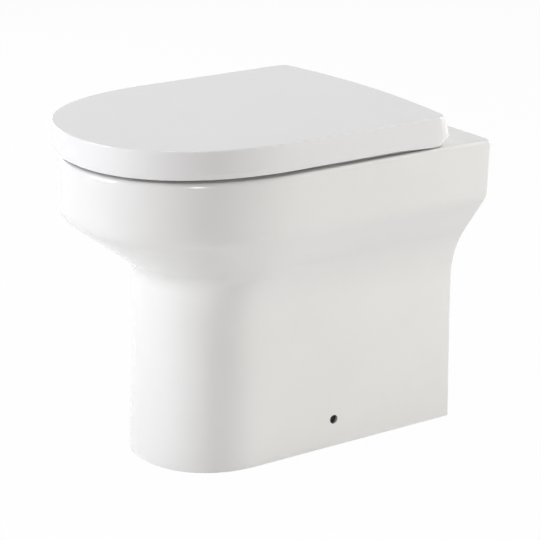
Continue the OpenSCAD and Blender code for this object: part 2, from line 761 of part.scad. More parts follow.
// A sleeve around a hinge pin, from a place outwards; closed at the far end of a damper
module sleeve(start, end, stop) {
    difference() {
        x_rod(start, end, damper_radius);
        x_rod(start - sign(end - start) * cut, stop, pin_radius + pin_clearance);
    }
}

module seat_damper() {
    color(grey_plastic) at_hinge()
        sleeve(bar_half, bar_half - damper_length, pin_inner - damper_bore_end / 2);
}

module seat_bush() {
    color(grey_plastic) at_hinge()
        sleeve(-bar_half, bush_length - bar_half, bush_length - bar_half + cut);
}

// Bracket on the lid's underside: a flange with a barrel on the hinge's axis
module lid_bracket(side) {
    flange_top = lid_inner_top - hinge_height;
    barrel_end = knuckle_start + damper_length + barrel_end_wall;
    color(grey_plastic) at_hinge() difference() {
        union() {
            x_rod(side * knuckle_start, side * barrel_end, barrel_radius);
            translate([side > 0 ? knuckle_start : -barrel_end, -barrel_radius / 2, 0])
                cube([barrel_end - knuckle_start, barrel_radius / 2 + flange_back, flange_top]);
            translate([side > 0 ? knuckle_start : -barrel_end, flange_back - flange_length,
                    flange_top - flange_thickness])
                cube([barrel_end - knuckle_start, flange_length, flange_thickness]);
        }
        x_rod(side * (knuckle_start - cut), side * (knuckle_start + damper_length), damper_radius);
    }
}

module lid_bracket_left() { lid_bracket(left); }
module lid_bracket_right() { lid_bracket(right); }

module lid_damper() {
    color(grey_plastic) at_hinge()
        sleeve(knuckle_start, knuckle_start + damper_length, pin_outer + damper_bore_end / 2);
}

module lid_bush() {
    color(grey_plastic) at_hinge()
        sleeve(-knuckle_start, -knuckle_start - bush_length, -knuckle_start - bush_length - cut);
}

// ---------- seat fixings ----------

module at_stud(side, z) {
    from_wall() translate([side * stud_x, -stud_setback, z]) children();
}

module fixing_stud(side) {
    color(steel) at_stud(side, head_seat) union() {
        cylinder(h = stud_head_height, r = stud_head_radius, $fn = round_fn);
        translate([0, 0, -stud_length]) cylinder(h = stud_length + cut, r = stud_radius, $fn = round_fn);
    }
}

module fixing_stud_left() { fixing_stud(left); }
module fixing_stud_right() { fixing_stud(right); }

// Rubber bush: a collar in the deck's hole over a tapered skirt
module stud_bush(side) {
    color(black_rubber) at_stud(side, channel_top) difference() {
        union() {
            cylinder(h = bush_collar, r = deck_hole_radius - fixing_gap, $fn = round_fn);
            translate([0, 0, -rubber_height])
                cylinder(h = rubber_height, r1 = washer_radius, r2 = rubber_radius, $fn = round_fn);
        }
        translate([0, 0, -rubber_height - cut]) stud_passage(rubber_height + bush_collar + 2 * cut);
    }
}

module stud_bush_left() { stud_bush(left); }
module stud_bush_right() { stud_bush(right); }

module stud_washer(side) {
    color(steel) at_stud(side, channel_top - rubber_height - washer_thickness) difference() {
        cylinder(h = washer_thickness, r = washer_radius, $fn = round_fn);
        translate([0, 0, -cut]) stud_passage(washer_thickness + 2 * cut);
    }
}

module stud_washer_left() { stud_washer(left); }
module stud_washer_right() { stud_washer(right); }

module wing_nut(side) {
    nut_bottom = channel_top - rubber_height - washer_thickness - nut_height;
    color(moulding) at_stud(side, nut_bottom) difference() {
        union() {
            cylinder(h = nut_height, r = nut_radius, $fn = round_fn);
            translate([-wing_thickness / 2, -wing_reach, 0])
                cube([wing_thickness, 2 * wing_reach, wing_height]);
        }
        translate([0, 0, -cut]) cylinder(h = nut_height + 2 * cut, r = stud_radius, $fn = round_fn);
    }
}

module wing_nut_left() { wing_nut(left); }
module wing_nut_right() { wing_nut(right); }

// ---------- buffers ----------

module buffer(place, bottom, height, radius, stem) {
    color(soft_rubber) from_wall() translate([place[0], -place[1], bottom]) union() {
        cylinder(h = height, r = radius, $fn = round_fn);
        cylinder(h = height + stem, r = buffer_stem_radius, $fn = round_fn);
    }
}

module seat_buffer(place) {
    buffer(place, rim_height + buffer_gap, seat_gap - buffer_gap, seat_buffer_radius, buffer_stem_length);
}

module lid_buffer(place) {
    buffer(place, seat_top + buffer_gap, lid_inner_top - seat_top - buffer_gap, lid_buffer_radius, 0);
}

module seat_buffer_front_left() { seat_buffer(seat_buffer_places[0]); }
module seat_buffer_front_right() { seat_buffer(seat_buffer_places[1]); }
module seat_buffer_rear_left() { seat_buffer(seat_buffer_places[2]); }
module seat_buffer_rear_right() { seat_buffer(seat_buffer_places[3]); }
module lid_buffer_front_left() { lid_buffer(lid_buffer_places[0]); }
module lid_buffer_front_right() { lid_buffer(lid_buffer_places[1]); }
module lid_buffer_rear_left() { lid_buffer(lid_buffer_places[2]); }
module lid_buffer_rear_right() { lid_buffer(lid_buffer_places[3]); }

// ---------- floor brackets ----------

module floor_bracket(side) {
    face = side_at(bracket_height) - pan_wall - bracket_gap;
    color(black_nylon) from_wall() translate([0, -side_hole_setback, 0]) difference() {
        union() {
            translate([side > 0 ? face - bracket_width : -face, -bracket_length / 2, 0])
                cube([bracket_width, bracket_length, bracket_thickness]);
            translate([side > 0 ? face - bracket_thickness : -face, -bracket_length / 2, 0])
                cube([bracket_thickness, bracket_length, bracket_height]);
        }
        translate([side * (face - floor_hole_inset), 0, -cut])
            cylinder(h = bracket_thickness + 2 * cut, r = floor_hole_radius, $fn = round_fn);
        translate([0, 0, side_hole_height])
            x_rod(side * (face - bracket_thickness - cut), side * (face + cut), bracket_screw_radius);
    }
}

module floor_bracket_left() { floor_bracket(left); }
module floor_bracket_right() { floor_bracket(right); }

pan();
seat();
lid();
hinge_arm_left();
hinge_arm_right();
arm_pad_left();
arm_pad_right();
hinge_pin_left();
hinge_pin_right();
seat_hinge_bar();
seat_damper();
seat_bush();
lid_bracket_left();
lid_bracket_right();
lid_damper();
lid_bush();
fixing_stud_left();
fixing_stud_right();
stud_bush_left();
stud_bush_right();
stud_washer_left();
stud_washer_right();
wing_nut_left();
wing_nut_right();
seat_buffer_front_left();
seat_buffer_front_right();
seat_buffer_rear_left();
seat_buffer_rear_right();
lid_buffer_front_left();
lid_buffer_front_right();
lid_buffer_rear_left();
lid_buffer_rear_right();
floor_bracket_left();
floor_bracket_right();
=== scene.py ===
"""Back to wall toilet: the look of the pan, the seat, the lid and their fixings over the CAD frame."""
import math

import bmesh
import bpy
from mathutils import Matrix, Vector


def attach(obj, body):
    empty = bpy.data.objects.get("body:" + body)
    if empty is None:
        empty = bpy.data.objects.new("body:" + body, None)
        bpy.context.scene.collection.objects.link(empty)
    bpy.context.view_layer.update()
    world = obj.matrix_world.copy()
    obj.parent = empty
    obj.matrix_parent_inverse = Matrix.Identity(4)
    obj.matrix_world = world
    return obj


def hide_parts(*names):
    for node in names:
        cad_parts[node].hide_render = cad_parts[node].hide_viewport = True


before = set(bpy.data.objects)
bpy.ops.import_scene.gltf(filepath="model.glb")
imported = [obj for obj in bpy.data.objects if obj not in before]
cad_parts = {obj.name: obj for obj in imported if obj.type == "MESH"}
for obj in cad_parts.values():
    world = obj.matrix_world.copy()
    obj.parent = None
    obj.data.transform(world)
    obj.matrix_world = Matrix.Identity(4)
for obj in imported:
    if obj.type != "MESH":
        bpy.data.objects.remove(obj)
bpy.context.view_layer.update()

MM = 0.001
BASE, SEAT_BODY, LID_BODY = "base", "seat_body", "lid_body"
SIDES = (("left", -1), ("right", 1))

# Sizes are in millimetres. Setbacks and reaches are measured forward from the wall.

# How far a solid reaches into what it joins, or past the face that it cuts
OVERLAP = 1.0
# How far the flat cap of a rounded top stands in from the end of the rounding
CAP_INSET = 0.6

# Pan: its outside, from the foot over the waist and the flare to the rim band
OVERALL_DEPTH = 509.5
RIM_HEIGHT, RIM_WIDTH, RIM_REACH = 400.0, 350.0, 505.5
BAND_TAPER, FRONT_SWELL = 4.0, 4.0
SIDE_TURN, SIDE_COVE = 324.0, 234.5
FRONT_TURN, FRONT_COVE = 326.5, 251.5
TURN_RADIUS, SIDE_COVE_RADIUS, FRONT_COVE_RADIUS = 30.0, 125.0, 32.0
WAIST_HEIGHT, WAIST_WIDTH, WAIST_REACH = 150.0, 205.6, 412.0
FOOT_WIDTH, FOOT_REACH = 209.0, 421.5
# Between these heights, over the cove and the turn, the levels stand close together
CURVES_LOW, CURVES_HIGH = 190.0, 360.0
BACK_EDGE, RIM_EDGE, FOOT_EDGE = 4.0, 5.0, 1.5
# The nose of its plan: length as a share of the half width, and power of the superellipse
RIM_NOSE, FOOT_NOSE, PAN_POWER = 1.22, 1.04, 2.15

# Pan: its walls, and the opening at the back, below the inlet
PAN_WALL, FLARE_WALL = 10.0, 15.0
FLARE_WALL_START, FLARE_WALL_RUN = 225.0, 20.0
DECK_THICKNESS = 14.0
BACK_OPENING = 290.0

# Bowl, its box rim with the flushing channel, and the sump
MOUTH_BACK, MOUTH_EDGE = 150.0, 6.0
RIM_FRONT, RIM_SIDE = 56.0, 42.5
LIP_THICKNESS, LIP_DROP, LIP_EDGE = 9.0, 48.0, 3.0
CHANNEL_WIDTH = 16.0
CHANNEL_TOP = RIM_HEIGHT - DECK_THICKNESS
CHANNEL_FRONT = RIM_REACH - RIM_FRONT + LIP_THICKNESS + CHANNEL_WIDTH
CHANNEL_BACK = MOUTH_BACK - LIP_THICKNESS - CHANNEL_WIDTH
CHANNEL_HALF = RIM_WIDTH / 2 - RIM_SIDE + LIP_THICKNESS + CHANNEL_WIDTH
BOWL_WALL = 9.0
# Powers of the curve by which the bowl opens, at its sides and front and at its rear
BOWL_SPREAD, BOWL_REAR_SPREAD = 1.5, 3.5
SUMP_FLOOR, SUMP_EDGE, SUMP_TOP = 92.0, 12.0, 200.0
SUMP_BACK, SUMP_FRONT, SUMP_WIDTH = 246.0, 328.0, 104.0
# Shares of the sump's width, and of its edge's height, from its flat floor out to its wall
SUMP_CURVE = ((0.5, 0.0), (0.72, 0.06), (0.88, 0.3), (0.97, 0.65), (1.0, 1.0))

# Trap, outlet, inlet, flush box and side holes
OUTLET_HEIGHT, OUTLET_RADIUS, OUTLET_SETBACK, OUTLET_LENGTH = 185.0, 51.0, 12.0, 26.0
OUTLET_RELIEF = 0.5
TRAP_RADIUS, TRAP_BEND, TRAP_MOUTH, TRAP_START = 41.0, 52.0, 134.0, 25.0
WATER_LEVEL, DIP_WALL = 223.0, 14.0
INLET_HEIGHT, INLET_RADIUS, INLET_LENGTH = 340.0, 27.5, 20.0
FLUSH_BOX_WIDTH, FLUSH_BOX_FRONT, FLUSH_FLOOR_GAP = 100.0, 100.0, 0.5
PASSAGE_WIDTH, PASSAGE_HEIGHT = 68.0, 22.0
SIDE_HOLE_HEIGHT, SIDE_HOLE_SETBACK, SIDE_HOLE_RADIUS = 37.5, 192.0, 6.0
SIDE_HOLE_THROAT, SIDE_HOLE_FLARE, SIDE_HOLE_OVERCUT = 4.0, 5.0, 0.5

# Lid: overall sizes, walls and edges
HINGE_SETBACK, HINGE_HEIGHT = 72.5, 427.375
SKIRT_GAP, LID_TOP, LID_WIDTH, LID_REACH = 5.25, 442.0, 351.0, 509.5
LID_BOTTOM = RIM_HEIGHT + SKIRT_GAP
LID_POWER, LID_NOSE = 2.2, 1.19
LID_WALL, LID_TOP_WALL = 4.0, 3.0
LID_INNER_TOP = LID_TOP - LID_TOP_WALL
LID_EDGE, LID_LIP, LID_INNER_EDGE = 1.8, 0.8, 2.0
LID_FOOT_CORNER, LID_TOP_CORNER = 27.0, 12.0
# The skirt draws in below the tail's top and leans out above it
SKIRT_DRAW, LID_SIDE_LEAN, LID_FRONT_LEAN = 2.0, 2.6, 1.4

# Lid: its tail, which swings round the hinge over the deck, and the skirt's drop towards it
TAIL_CLEARANCE, TAIL_HEIGHT, TAIL_SLOPE = 0.9, 7.5, 10.5
TAIL_BOW, TOP_BOW = 7.5, 15.5
TAIL_Z = LID_BOTTOM + TAIL_HEIGHT
TAIL_RADIUS = HINGE_HEIGHT - RIM_HEIGHT - TAIL_CLEARANCE
# The drop grows from one setback over a length, and stays inside a radius about the hinge
SKIRT_DROP, DROP_START, DROP_RUN, DROP_SWING = 3.0, 150.0, 60.0, 27.0
# Slots for the hinge arms: the height that they end at, and how far behind the wall's plane they start
SLOT_TOP, SLOT_REACH = 438.0, 5.0

# Seat
SEAT_CLEARANCE, SEAT_THICKNESS, SEAT_GAP = 3.0, 22.0, 6.0
SEAT_EDGE, SEAT_INNER_EDGE, SEAT_CORNER, SEAT_FOOT = 8.0, 11.0, 12.0, 2.0
SEAT_OPENING_BACK, SEAT_FRONT, SEAT_OPENING = 163.0, 60.0, 226.0
SEAT_BOTTOM = RIM_HEIGHT + SEAT_GAP
SEAT_TOP = SEAT_BOTTOM + SEAT_THICKNESS
SWING_GAP = 1.8
SEAT_BACK = HINGE_SETBACK + TAIL_RADIUS + SWING_GAP

# Hinge arms, and the tongue of the seat's hinge bar
STUD_X, STUD_SETBACK = 77.5, HINGE_SETBACK + 37.0
ARM_WIDTH, ARM_SIDE_GAP, ARM_TOP, POST_LENGTH = 19.0, 1.0, 6.0, 20.0
TONGUE_SIDE_GAP, TONGUE_FIT, TONGUE_LENGTH = 6.0, 0.1, 20.0
TONGUE_HALF = STUD_X - ARM_WIDTH / 2 - ARM_SIDE_GAP - TONGUE_SIDE_GAP
TONGUE_DROP, TONGUE_THICKNESS = 7.25, 6.0

# Studs, with a socket in the head, a plain shank and a thread
THREAD_PITCH, THREAD_DEPTH, THREAD_CREST = 1.25, 0.55, (0.4, 0.6)
STUD_RADIUS, STUD_LENGTH, STUD_PLAIN = 4.0, 76.0, 18.0
SHANK_UNDERSIZE, SHANK_EDGE = 0.02, 0.05
HEAD_RADIUS, HEAD_HEIGHT, HEAD_SINK, HEAD_EDGE = 6.5, 4.0, 0.5, 0.6
HEAD_SEAT = HINGE_HEIGHT + ARM_TOP - HEAD_HEIGHT - HEAD_SINK
SOCKET_FLOOR, SOCKET_RADIUS = 1.4, 2.9

# What holds the studs from below: bush, washer and wing nut
DECK_HOLE, FIXING_GAP = 8.0, 0.3
RUBBER_RADIUS, RUBBER_HEIGHT, RUBBER_EDGE, RUBBER_TOP_EDGE = 13.0, 8.0, 0.6, 0.5
BUSH_COLLAR = 8.4
RIB_COUNT, RIB_START, RIB_PITCH, RIB_STEP, RIB_BULGE = 3, 1.2, 2.1, 0.5, 0.3
WASHER_RADIUS, WASHER_THICKNESS, WASHER_EDGE = 11.0, 1.5, 0.25
NUT_RADIUS, NUT_HEIGHT, NUT_FLANGE = 7.5, 10.0, 2.4
NUT_EDGE, NUT_STEP, NUT_DRAUGHT, NUT_CHAMFER, NUT_THREAD_GAP = 0.4, 0.6, 0.9, 0.7, 0.05
WING_REACH, WING_HEIGHT, WING_THICKNESS, WING_EDGE, WING_TAPER = 16.0, 7.0, 3.0, 1.2, 0.84

# Buffers: distance from the middle, setback, and how much nearer the middle the lid's buffer stands
BUFFER_PLACES = {
    "front": (62.0, RIM_REACH - 34.0, 0.0),
    "rear": (RIM_WIDTH / 2 - 27.0, 232.0, 8.0),
}
BUFFER_GAP, PEG_RADIUS, PEG_LENGTH, PEG_EDGE = 0.3, 2.5, 6.0, 0.4
SEAT_BUFFER_RADIUS, LID_BUFFER_RADIUS = 7.0, 6.0
BUFFER_SINK, GROOVE_DEPTH = 0.5, 0.6


# ---------- curves ----------

def mix(a, b, t):
    return a + (b - a) * t


def clamp(t):
    return min(max(t, 0.0), 1.0)


def smooth(t):
    return t * t * (3 - 2 * t)


def steps_between(low, high, count):
    return [mix(low, high, i / count) for i in range(count + 1)]


def rounding(radius, steps, first=0):
    """Points of a rounded edge, as depths in from its two faces: from (0, radius) to (radius, 0)."""
    turns = [math.pi / 2 * i / steps for i in range(first, steps + 1)]
    return [(radius * (1 - math.cos(turn)), radius * (1 - math.sin(turn))) for turn in turns]


def place(x, setback, z):
    """A point given by its distance from the wall, in the part's frame in metres."""
    return Vector((x, OVERALL_DEPTH / 2 - setback, z)) * MM


def corner_arc(a, b, c, radius, steps):
    """Points of the arc that rounds the corner b of the path a, b, c."""
    a, b, c = Vector(a), Vector(b), Vector(c)
    to_a, to_c = (a - b).normalized(), (c - b).normalized()
    half = to_a.angle(to_c) / 2
    centre = b + (to_a + to_c).normalized() * radius / math.sin(half)
    start = b + to_a * radius / math.tan(half) - centre
    end = b + to_c * radius / math.tan(half) - centre
    sweep = math.pi - 2 * half
    return [
        centre + (start * math.sin(sweep * (1 - i / steps)) + end * math.sin(sweep * i / steps))
        / math.sin(sweep)
        for i in range(steps + 1)
    ]


def flared_profile(foot, waist, cove_z, turn_z, band, top, cove_radius):
    """Heights and sizes of the pan's side from the floor to the rim."""
    steps = 24
    return (
        [Vector((0, foot)), Vector((WAIST_HEIGHT, waist))]
        + corner_arc((WAIST_HEIGHT, waist), (cove_z, waist), (turn_z, band), cove_radius, steps)
        + corner_arc((cove_z, waist), (turn_z, band), (RIM_HEIGHT, top), TURN_RADIUS, steps)
        + [Vector((RIM_HEIGHT, top))]
    )


SIDE_PROFILE = flared_profile(FOOT_WIDTH / 2, WAIST_WIDTH / 2, SIDE_COVE, SIDE_TURN,
                              RIM_WIDTH / 2 - BAND_TAPER, RIM_WIDTH / 2, SIDE_COVE_RADIUS)
FRONT_PROFILE = flared_profile(FOOT_REACH, WAIST_REACH, FRONT_COVE, FRONT_TURN,
                               RIM_REACH + FRONT_SWELL, RIM_REACH, FRONT_COVE_RADIUS)


def along(profile, z):
    """Size on a profile at a height."""
    for low, high in zip(profile, profile[1:]):
        if z <= high[0]:
            return mix(low[1], high[1], clamp((z - low[0]) / max(high[0] - low[0], 1e-6)))
    return profile[-1][1]


def superellipse(value, power):
    return math.copysign(abs(value) ** (2 / power), value)


def d_ring(half, reach, back, nose, power, corner, z, bow=0.0, counts=(8, 6, 14, 30)):
    """One level of a D plan, from the middle of its back edge round to it again."""
    back_count, corner_count, side_count, nose_count = counts
    flat = half - corner

    def back_at(x):
        return back + bow * (x / half) ** 2

    right = [(flat * i / back_count, back_at(flat * i / back_count)) for i in range(back_count)]
    for i in range(corner_count):
        turn = math.pi / 2 * i / corner_count
        x = flat + corner * math.sin(turn)
        right.append((x, back_at(x) + corner * (1 - math.cos(turn))))
    side_start = back_at(half) + corner
    side_end = reach - nose
    right += [(half, mix(side_start, side_end, i / side_count)) for i in range(side_count)]
    for i in range(nose_count):
        turn = math.pi / 2 * i / nose_count
        right.append((half * superellipse(math.cos(turn), power),
                      side_end + nose * superellipse(math.sin(turn), power)))
    ring = right + [(0.0, reach)] + [(-x, setback) for x, setback in reversed(right[1:])]
    return [place(x, setback, z) for x, setback in ring]


def oval_ring(half, reach, back, z, count=96):
    """One level of an oval that runs from back to reach."""
    middle, deep = (reach + back) / 2, (reach - back) / 2
    turns = [2 * math.pi * i / count for i in range(count)]
    return [place(half * math.sin(turn), middle - deep * math.cos(turn), z) for turn in turns]


# ---------- meshes ----------

def finish_mesh(name, bm, angle=40.0):
    """Object from a bmesh, shaded smooth with its edges over an angle kept sharp."""
    mesh = bpy.data.meshes.new(name)
    bm.to_mesh(mesh)
    bm.free()
    mesh.shade_smooth()
    mesh.set_sharp_from_angle(angle=math.radians(angle))
    piece = bpy.data.objects.new(name, mesh)
    bpy.context.scene.collection.objects.link(piece)
    return piece


def loft(rings):
    """Closed skin over rings that have the same number of points."""
    bm = bmesh.new()
    ring = bmesh.ops.create_circle(bm, segments=len(rings[0]), radius=1.0)["verts"]
    for vert, point in zip(ring, rings[0]):
        vert.co = point
    edges = list(bm.edges)
    bmesh.ops.edgeloop_fill(bm, edges=edges)
    for points in rings[1:]:
        grown = bmesh.ops.extrude_edge_only(bm, edges=edges)["geom"]
        fresh = {item for item in grown if isinstance(item, bmesh.types.BMVert)}
        ring = [next(e.other_vert(v) for e in v.link_edges if e.other_vert(v) in fresh) for v in ring]
        for vert, point in zip(ring, points):
            vert.co = point
        edges = [item for item in grown
                 if isinstance(item, bmesh.types.BMEdge) and fresh.issuperset(item.verts)]
    bmesh.ops.edgeloop_fill(bm, edges=edges)
    bmesh.ops.recalc_face_normals(bm, faces=bm.faces)
    return bm


def rod(start, end, radius, segments=48, end_radius=None):
    """Cylinder or cone between two points given in metres."""
    bm = bmesh.new()
    last = radius if end_radius is None else end_radius
    bmesh.ops.create_cone(bm, cap_ends=True, segments=segments, radius1=radius * MM, radius2=last * MM,
                          depth=(end - start).length)
    turn = (end - start).to_track_quat("Z", "Y").to_matrix().to_4x4()
    bmesh.ops.transform(bm, matrix=Matrix.Translation((start + end) / 2) @ turn, verts=bm.verts)
    return bm


def upright_rod(x, setback, low, high, radius, segments):
    return rod(place(x, setback, low), place(x, setback, high), radius, segments)


def wall_rod(near, far, z, radius):
    """Cylinder on the middle plane, square to the wall, between two setbacks."""
    return rod(place(0, near, z), place(0, far, z), radius, 96)


def box(x1, x2, near, far, z1, z2):
    """Box between two setbacks."""
    bm = bmesh.new()
    bmesh.ops.create_cube(bm, size=1.0)
    low, high = place(x1, far, z1), place(x2, near, z2)
    bmesh.ops.scale(bm, vec=high - low, verts=bm.verts)
    bmesh.ops.translate(bm, vec=(low + high) / 2, verts=bm.verts)
    return bm


def middle_box(half, near, far, z1, z2):
    """Box centred on the middle plane."""
    return box(-half, half, near, far, z1, z2)


def carve(name, bm, steps, angle=40.0):
    """Piece made of a body with solids joined to it or cut from it, in order."""
    body = finish_mesh(name + "_body", bm, angle)
    helpers = []
    for index, (operation, tool) in enumerate(steps):
        helper = finish_mesh(f"{name}_tool_{index}", tool, angle)
        helpers.append(helper)
        change = body.modifiers.new(f"step_{index}", "BOOLEAN")
        change.operation = operation
        change.solver = "MANIFOLD"
        change.object = helper
    carved = bpy.data.meshes.new_from_object(body.evaluated_get(bpy.context.evaluated_depsgraph_get()))
    for used in helpers + [body]:
        bpy.data.objects.remove(used)
    made = bmesh.new()
    made.from_mesh(carved)
    bpy.data.meshes.remove(carved)
    bmesh.ops.remove_doubles(made, verts=made.verts, dist=1e-6)
    piece = finish_mesh(name, made, angle)
    weigh = piece.modifiers.new("weighted_normal", "WEIGHTED_NORMAL")
    weigh.keep_sharp = True
    weigh.weight = 80
    return piece


def turned(profile, x, setback, segments=48):
    """Solid of revolution about an upright axis, from radii and heights in millimetres."""
    bm = bmesh.new()
    verts = [bm.verts.new(place(x + radius, setback, z)) for radius, z in profile]
    for a, b in zip(verts, verts[1:]):
        bm.edges.new((a, b))
    bmesh.ops.spin(bm, geom=bm.verts[:] + bm.edges[:], cent=place(x, setback, 0), axis=(0, 0, 1),
                   angle=2 * math.pi, steps=segments, use_merge=True)
    bmesh.ops.remove_doubles(bm, verts=bm.verts, dist=1e-6)
    bmesh.ops.recalc_face_normals(bm, faces=bm.faces)
    return bm


def rounded(radius, low, high, edge, steps=4):
    """Profile of a disc with rounded edges, from its axis up to its axis again."""
    lower = [(radius - inward, low + rise) for rise, inward in rounding(edge, steps)]
    upper = [(radius - inward, high - drop) for inward, drop in rounding(edge, steps)]
    return [(0, low)] + lower + upper + [(0, high)]


def joined(name, parts, angle=40.0):
    """One piece from several closed skins."""
    bm = bmesh.new()
    for part in parts:
        mesh = bpy.data.meshes.new("part")
        part.to_mesh(mesh)
        part.free()
        bm.from_mesh(mesh)
        bpy.data.meshes.remove(mesh)
    return finish_mesh(name, bm, angle)


# ---------- materials ----------

def noise(tree, scale, detail, stretch):
    """Noise on Object coordinates; scale is in waves per metre."""
    coordinates = tree.nodes.new("ShaderNodeTexCoord")
    mapping = tree.nodes.new("ShaderNodeMapping")
    mapping.inputs["Scale"].default_value = stretch
    texture = tree.nodes.new("ShaderNodeTexNoise")
    texture.inputs["Scale"].default_value = scale
    texture.inputs["Detail"].default_value = detail
    tree.links.new(coordinates.outputs["Object"], mapping.inputs["Vector"])
    tree.links.new(mapping.outputs["Vector"], texture.inputs["Vector"])
    return texture.outputs["Fac"]


def ramp(tree, value, low, high):
    """Two colours mixed by a value."""
    node = tree.nodes.new("ShaderNodeValToRGB")
    for stop, position, colour in zip(node.color_ramp.elements, (0.35, 0.65), (low, high)):
        stop.position = position
        stop.color = (*colour, 1)
    tree.links.new(value, node.inputs["Fac"])
    return node.outputs["Color"]


def spread(tree, value, low, high):
    """A number between two limits, from a value that runs from 0 to 1."""
    node = tree.nodes.new("ShaderNodeMapRange")
    node.inputs["To Min"].default_value = low
    node.inputs["To Max"].default_value = high
    tree.links.new(value, node.inputs["Value"])
    return node.outputs["Result"]


def bump(tree, heights, strength, distance):
    """Surface relief from a value."""
    node = tree.nodes.new("ShaderNodeBump")
    node.inputs["Strength"].default_value = strength
    node.inputs["Distance"].default_value = distance
    tree.links.new(heights, node.inputs["Height"])
    return node.outputs["Normal"]


def surface(name, colours, tint, roughness, gloss, relief, depth, stretch=(1.0, 1.0, 1.0)):
    """Material whose colour, roughness and relief each follow a noise.

    tint, gloss and relief hold the scale and the detail of a noise. colours and roughness hold the two
    limits between which theirs runs, and depth holds the strength and the distance of the relief.
    """
    material = bpy.data.materials.new(name)
    material.use_nodes = True
    tree = material.node_tree
    shader = tree.nodes["Principled BSDF"]
    inputs = shader.inputs
    tree.links.new(ramp(tree, noise(tree, *tint, stretch), *colours), inputs["Base Color"])
    tree.links.new(spread(tree, noise(tree, *gloss, stretch), *roughness), inputs["Roughness"])
    tree.links.new(bump(tree, noise(tree, *relief, stretch), *depth), inputs["Normal"])
    return material, inputs


def glazed_ceramic():
    whites = (0.846, 0.843, 0.836), (0.860, 0.858, 0.853)
    material, inputs = surface("glazed_ceramic", whites, tint=(9.0, 3.0), roughness=(0.05, 0.12),
                               gloss=(60.0, 3.0), relief=(28.0, 1.0), depth=(0.12, 0.0006))
    inputs["IOR"].default_value = 1.5
    inputs["Coat Weight"].default_value = 0.35
    inputs["Coat Roughness"].default_value = 0.03
    return material


def white_moulding():
    whites = (0.850, 0.842, 0.847), (0.861, 0.853, 0.858)
    material, inputs = surface("white_moulding", whites, tint=(12.0, 2.0), roughness=(0.10, 0.17),
                               gloss=(90.0, 3.0), relief=(420.0, 2.0), depth=(0.05, 0.0001))
    inputs["IOR"].default_value = 1.5
    return material


def shades(colour, share):
    """A colour and a slightly darker one, the darker first."""
    return tuple(c * share for c in colour), colour


def metal(name, colour, roughness, grain, stretch=(1.0, 1.0, 1.0)):
    """Bare metal; grain is the scale of its marks, in waves per metre."""
    material, inputs = surface(name, shades(colour, 0.93), tint=(grain, 4.0), roughness=roughness,
                               gloss=(grain * 1.7, 3.0), relief=(grain * 1.3, 2.0), depth=(0.06, 0.0001),
                               stretch=stretch)
    inputs["Metallic"].default_value = 1.0
    return material


def moulded(name, colour, roughness, grain, strength):
    """Plastic or rubber with the fine grain of its mould."""
    material, _ = surface(name, shades(colour, 0.94), tint=(40.0, 3.0), roughness=roughness,
                          gloss=(150.0, 2.0), relief=(grain, 3.0), depth=(strength, 0.0002))
    return material


CERAMIC = glazed_ceramic()
MOULDING = white_moulding()
HINGE_METAL = metal("hinge_metal", (0.78, 0.79, 0.80), (0.08, 0.16), 60.0)
STEEL = metal("zinc_plated_steel", (0.60, 0.61, 0.63), (0.26, 0.42), 90.0, (1.0, 1.0, 0.2))
HINGE_PLASTIC = moulded("hinge_plastic", (0.72, 0.72, 0.73), (0.30, 0.42), 900.0, 0.12)
DAMPER_PLASTIC = moulded("damper_plastic", (0.17, 0.175, 0.185), (0.42, 0.55), 900.0, 0.15)
# Near-black for the floor bracket is painted shade: seen through the side holes it stands in for the dark,
# shaded inside of the pan.
BRACKET_SHADE_BLACK = moulded("black_nylon", (0.075, 0.075, 0.08), (0.40, 0.55), 900.0, 0.2)
BLACK_RUBBER = moulded("black_rubber", (0.026, 0.026, 0.028), (0.62, 0.80), 1200.0, 0.25)
BUFFER_RUBBER = moulded("buffer_rubber", (0.60, 0.60, 0.59), (0.50, 0.66), 1000.0, 0.15)


def dress(piece, material, body, slot_name, *nodes):
    """Gives a new piece its material, its body and the CAD nodes that it stands for."""
    piece.data.materials.clear()
    piece.data.materials.append(material)
    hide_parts(*nodes)
    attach(piece, body)
    return piece


# ---------- pan ----------

def side_at(z):
    return along(SIDE_PROFILE, z)


def front_at(z):
    return along(FRONT_PROFILE, z)


def nose_at(z):
    flare = clamp((2 * side_at(z) - WAIST_WIDTH) / (RIM_WIDTH - WAIST_WIDTH))
    return side_at(z) * mix(FOOT_NOSE, RIM_NOSE, flare)


def pan_ring(z, inset=0.0):
    return d_ring(side_at(z) - inset, front_at(z) - inset, inset / 2, nose_at(z) - inset,
                  PAN_POWER, BACK_EDGE, z)


def pan_outside():
    levels = steps_between(FOOT_EDGE, WAIST_HEIGHT, 6)
    levels += steps_between(WAIST_HEIGHT, CURVES_LOW, 5)[1:]
    levels += steps_between(CURVES_LOW, CURVES_HIGH, 57)[1:]
    levels += steps_between(CURVES_HIGH, RIM_HEIGHT - RIM_EDGE, 4)[1:]
    rings = [pan_ring(0, FOOT_EDGE), pan_ring(FOOT_EDGE * 0.3, FOOT_EDGE * 0.3)]
    rings += [pan_ring(z) for z in levels]
    rings += [pan_ring(RIM_HEIGHT - drop, inset) for inset, drop in rounding(RIM_EDGE, 8, first=1)]
    rings.append(pan_ring(RIM_HEIGHT, RIM_EDGE + CAP_INSET))
    return loft(rings)


def lowered(ring):
    """A ring moved down by two overlaps, as the start of a cut from below."""
    return [point - Vector((0, 0, 2 * OVERLAP * MM)) for point in ring]


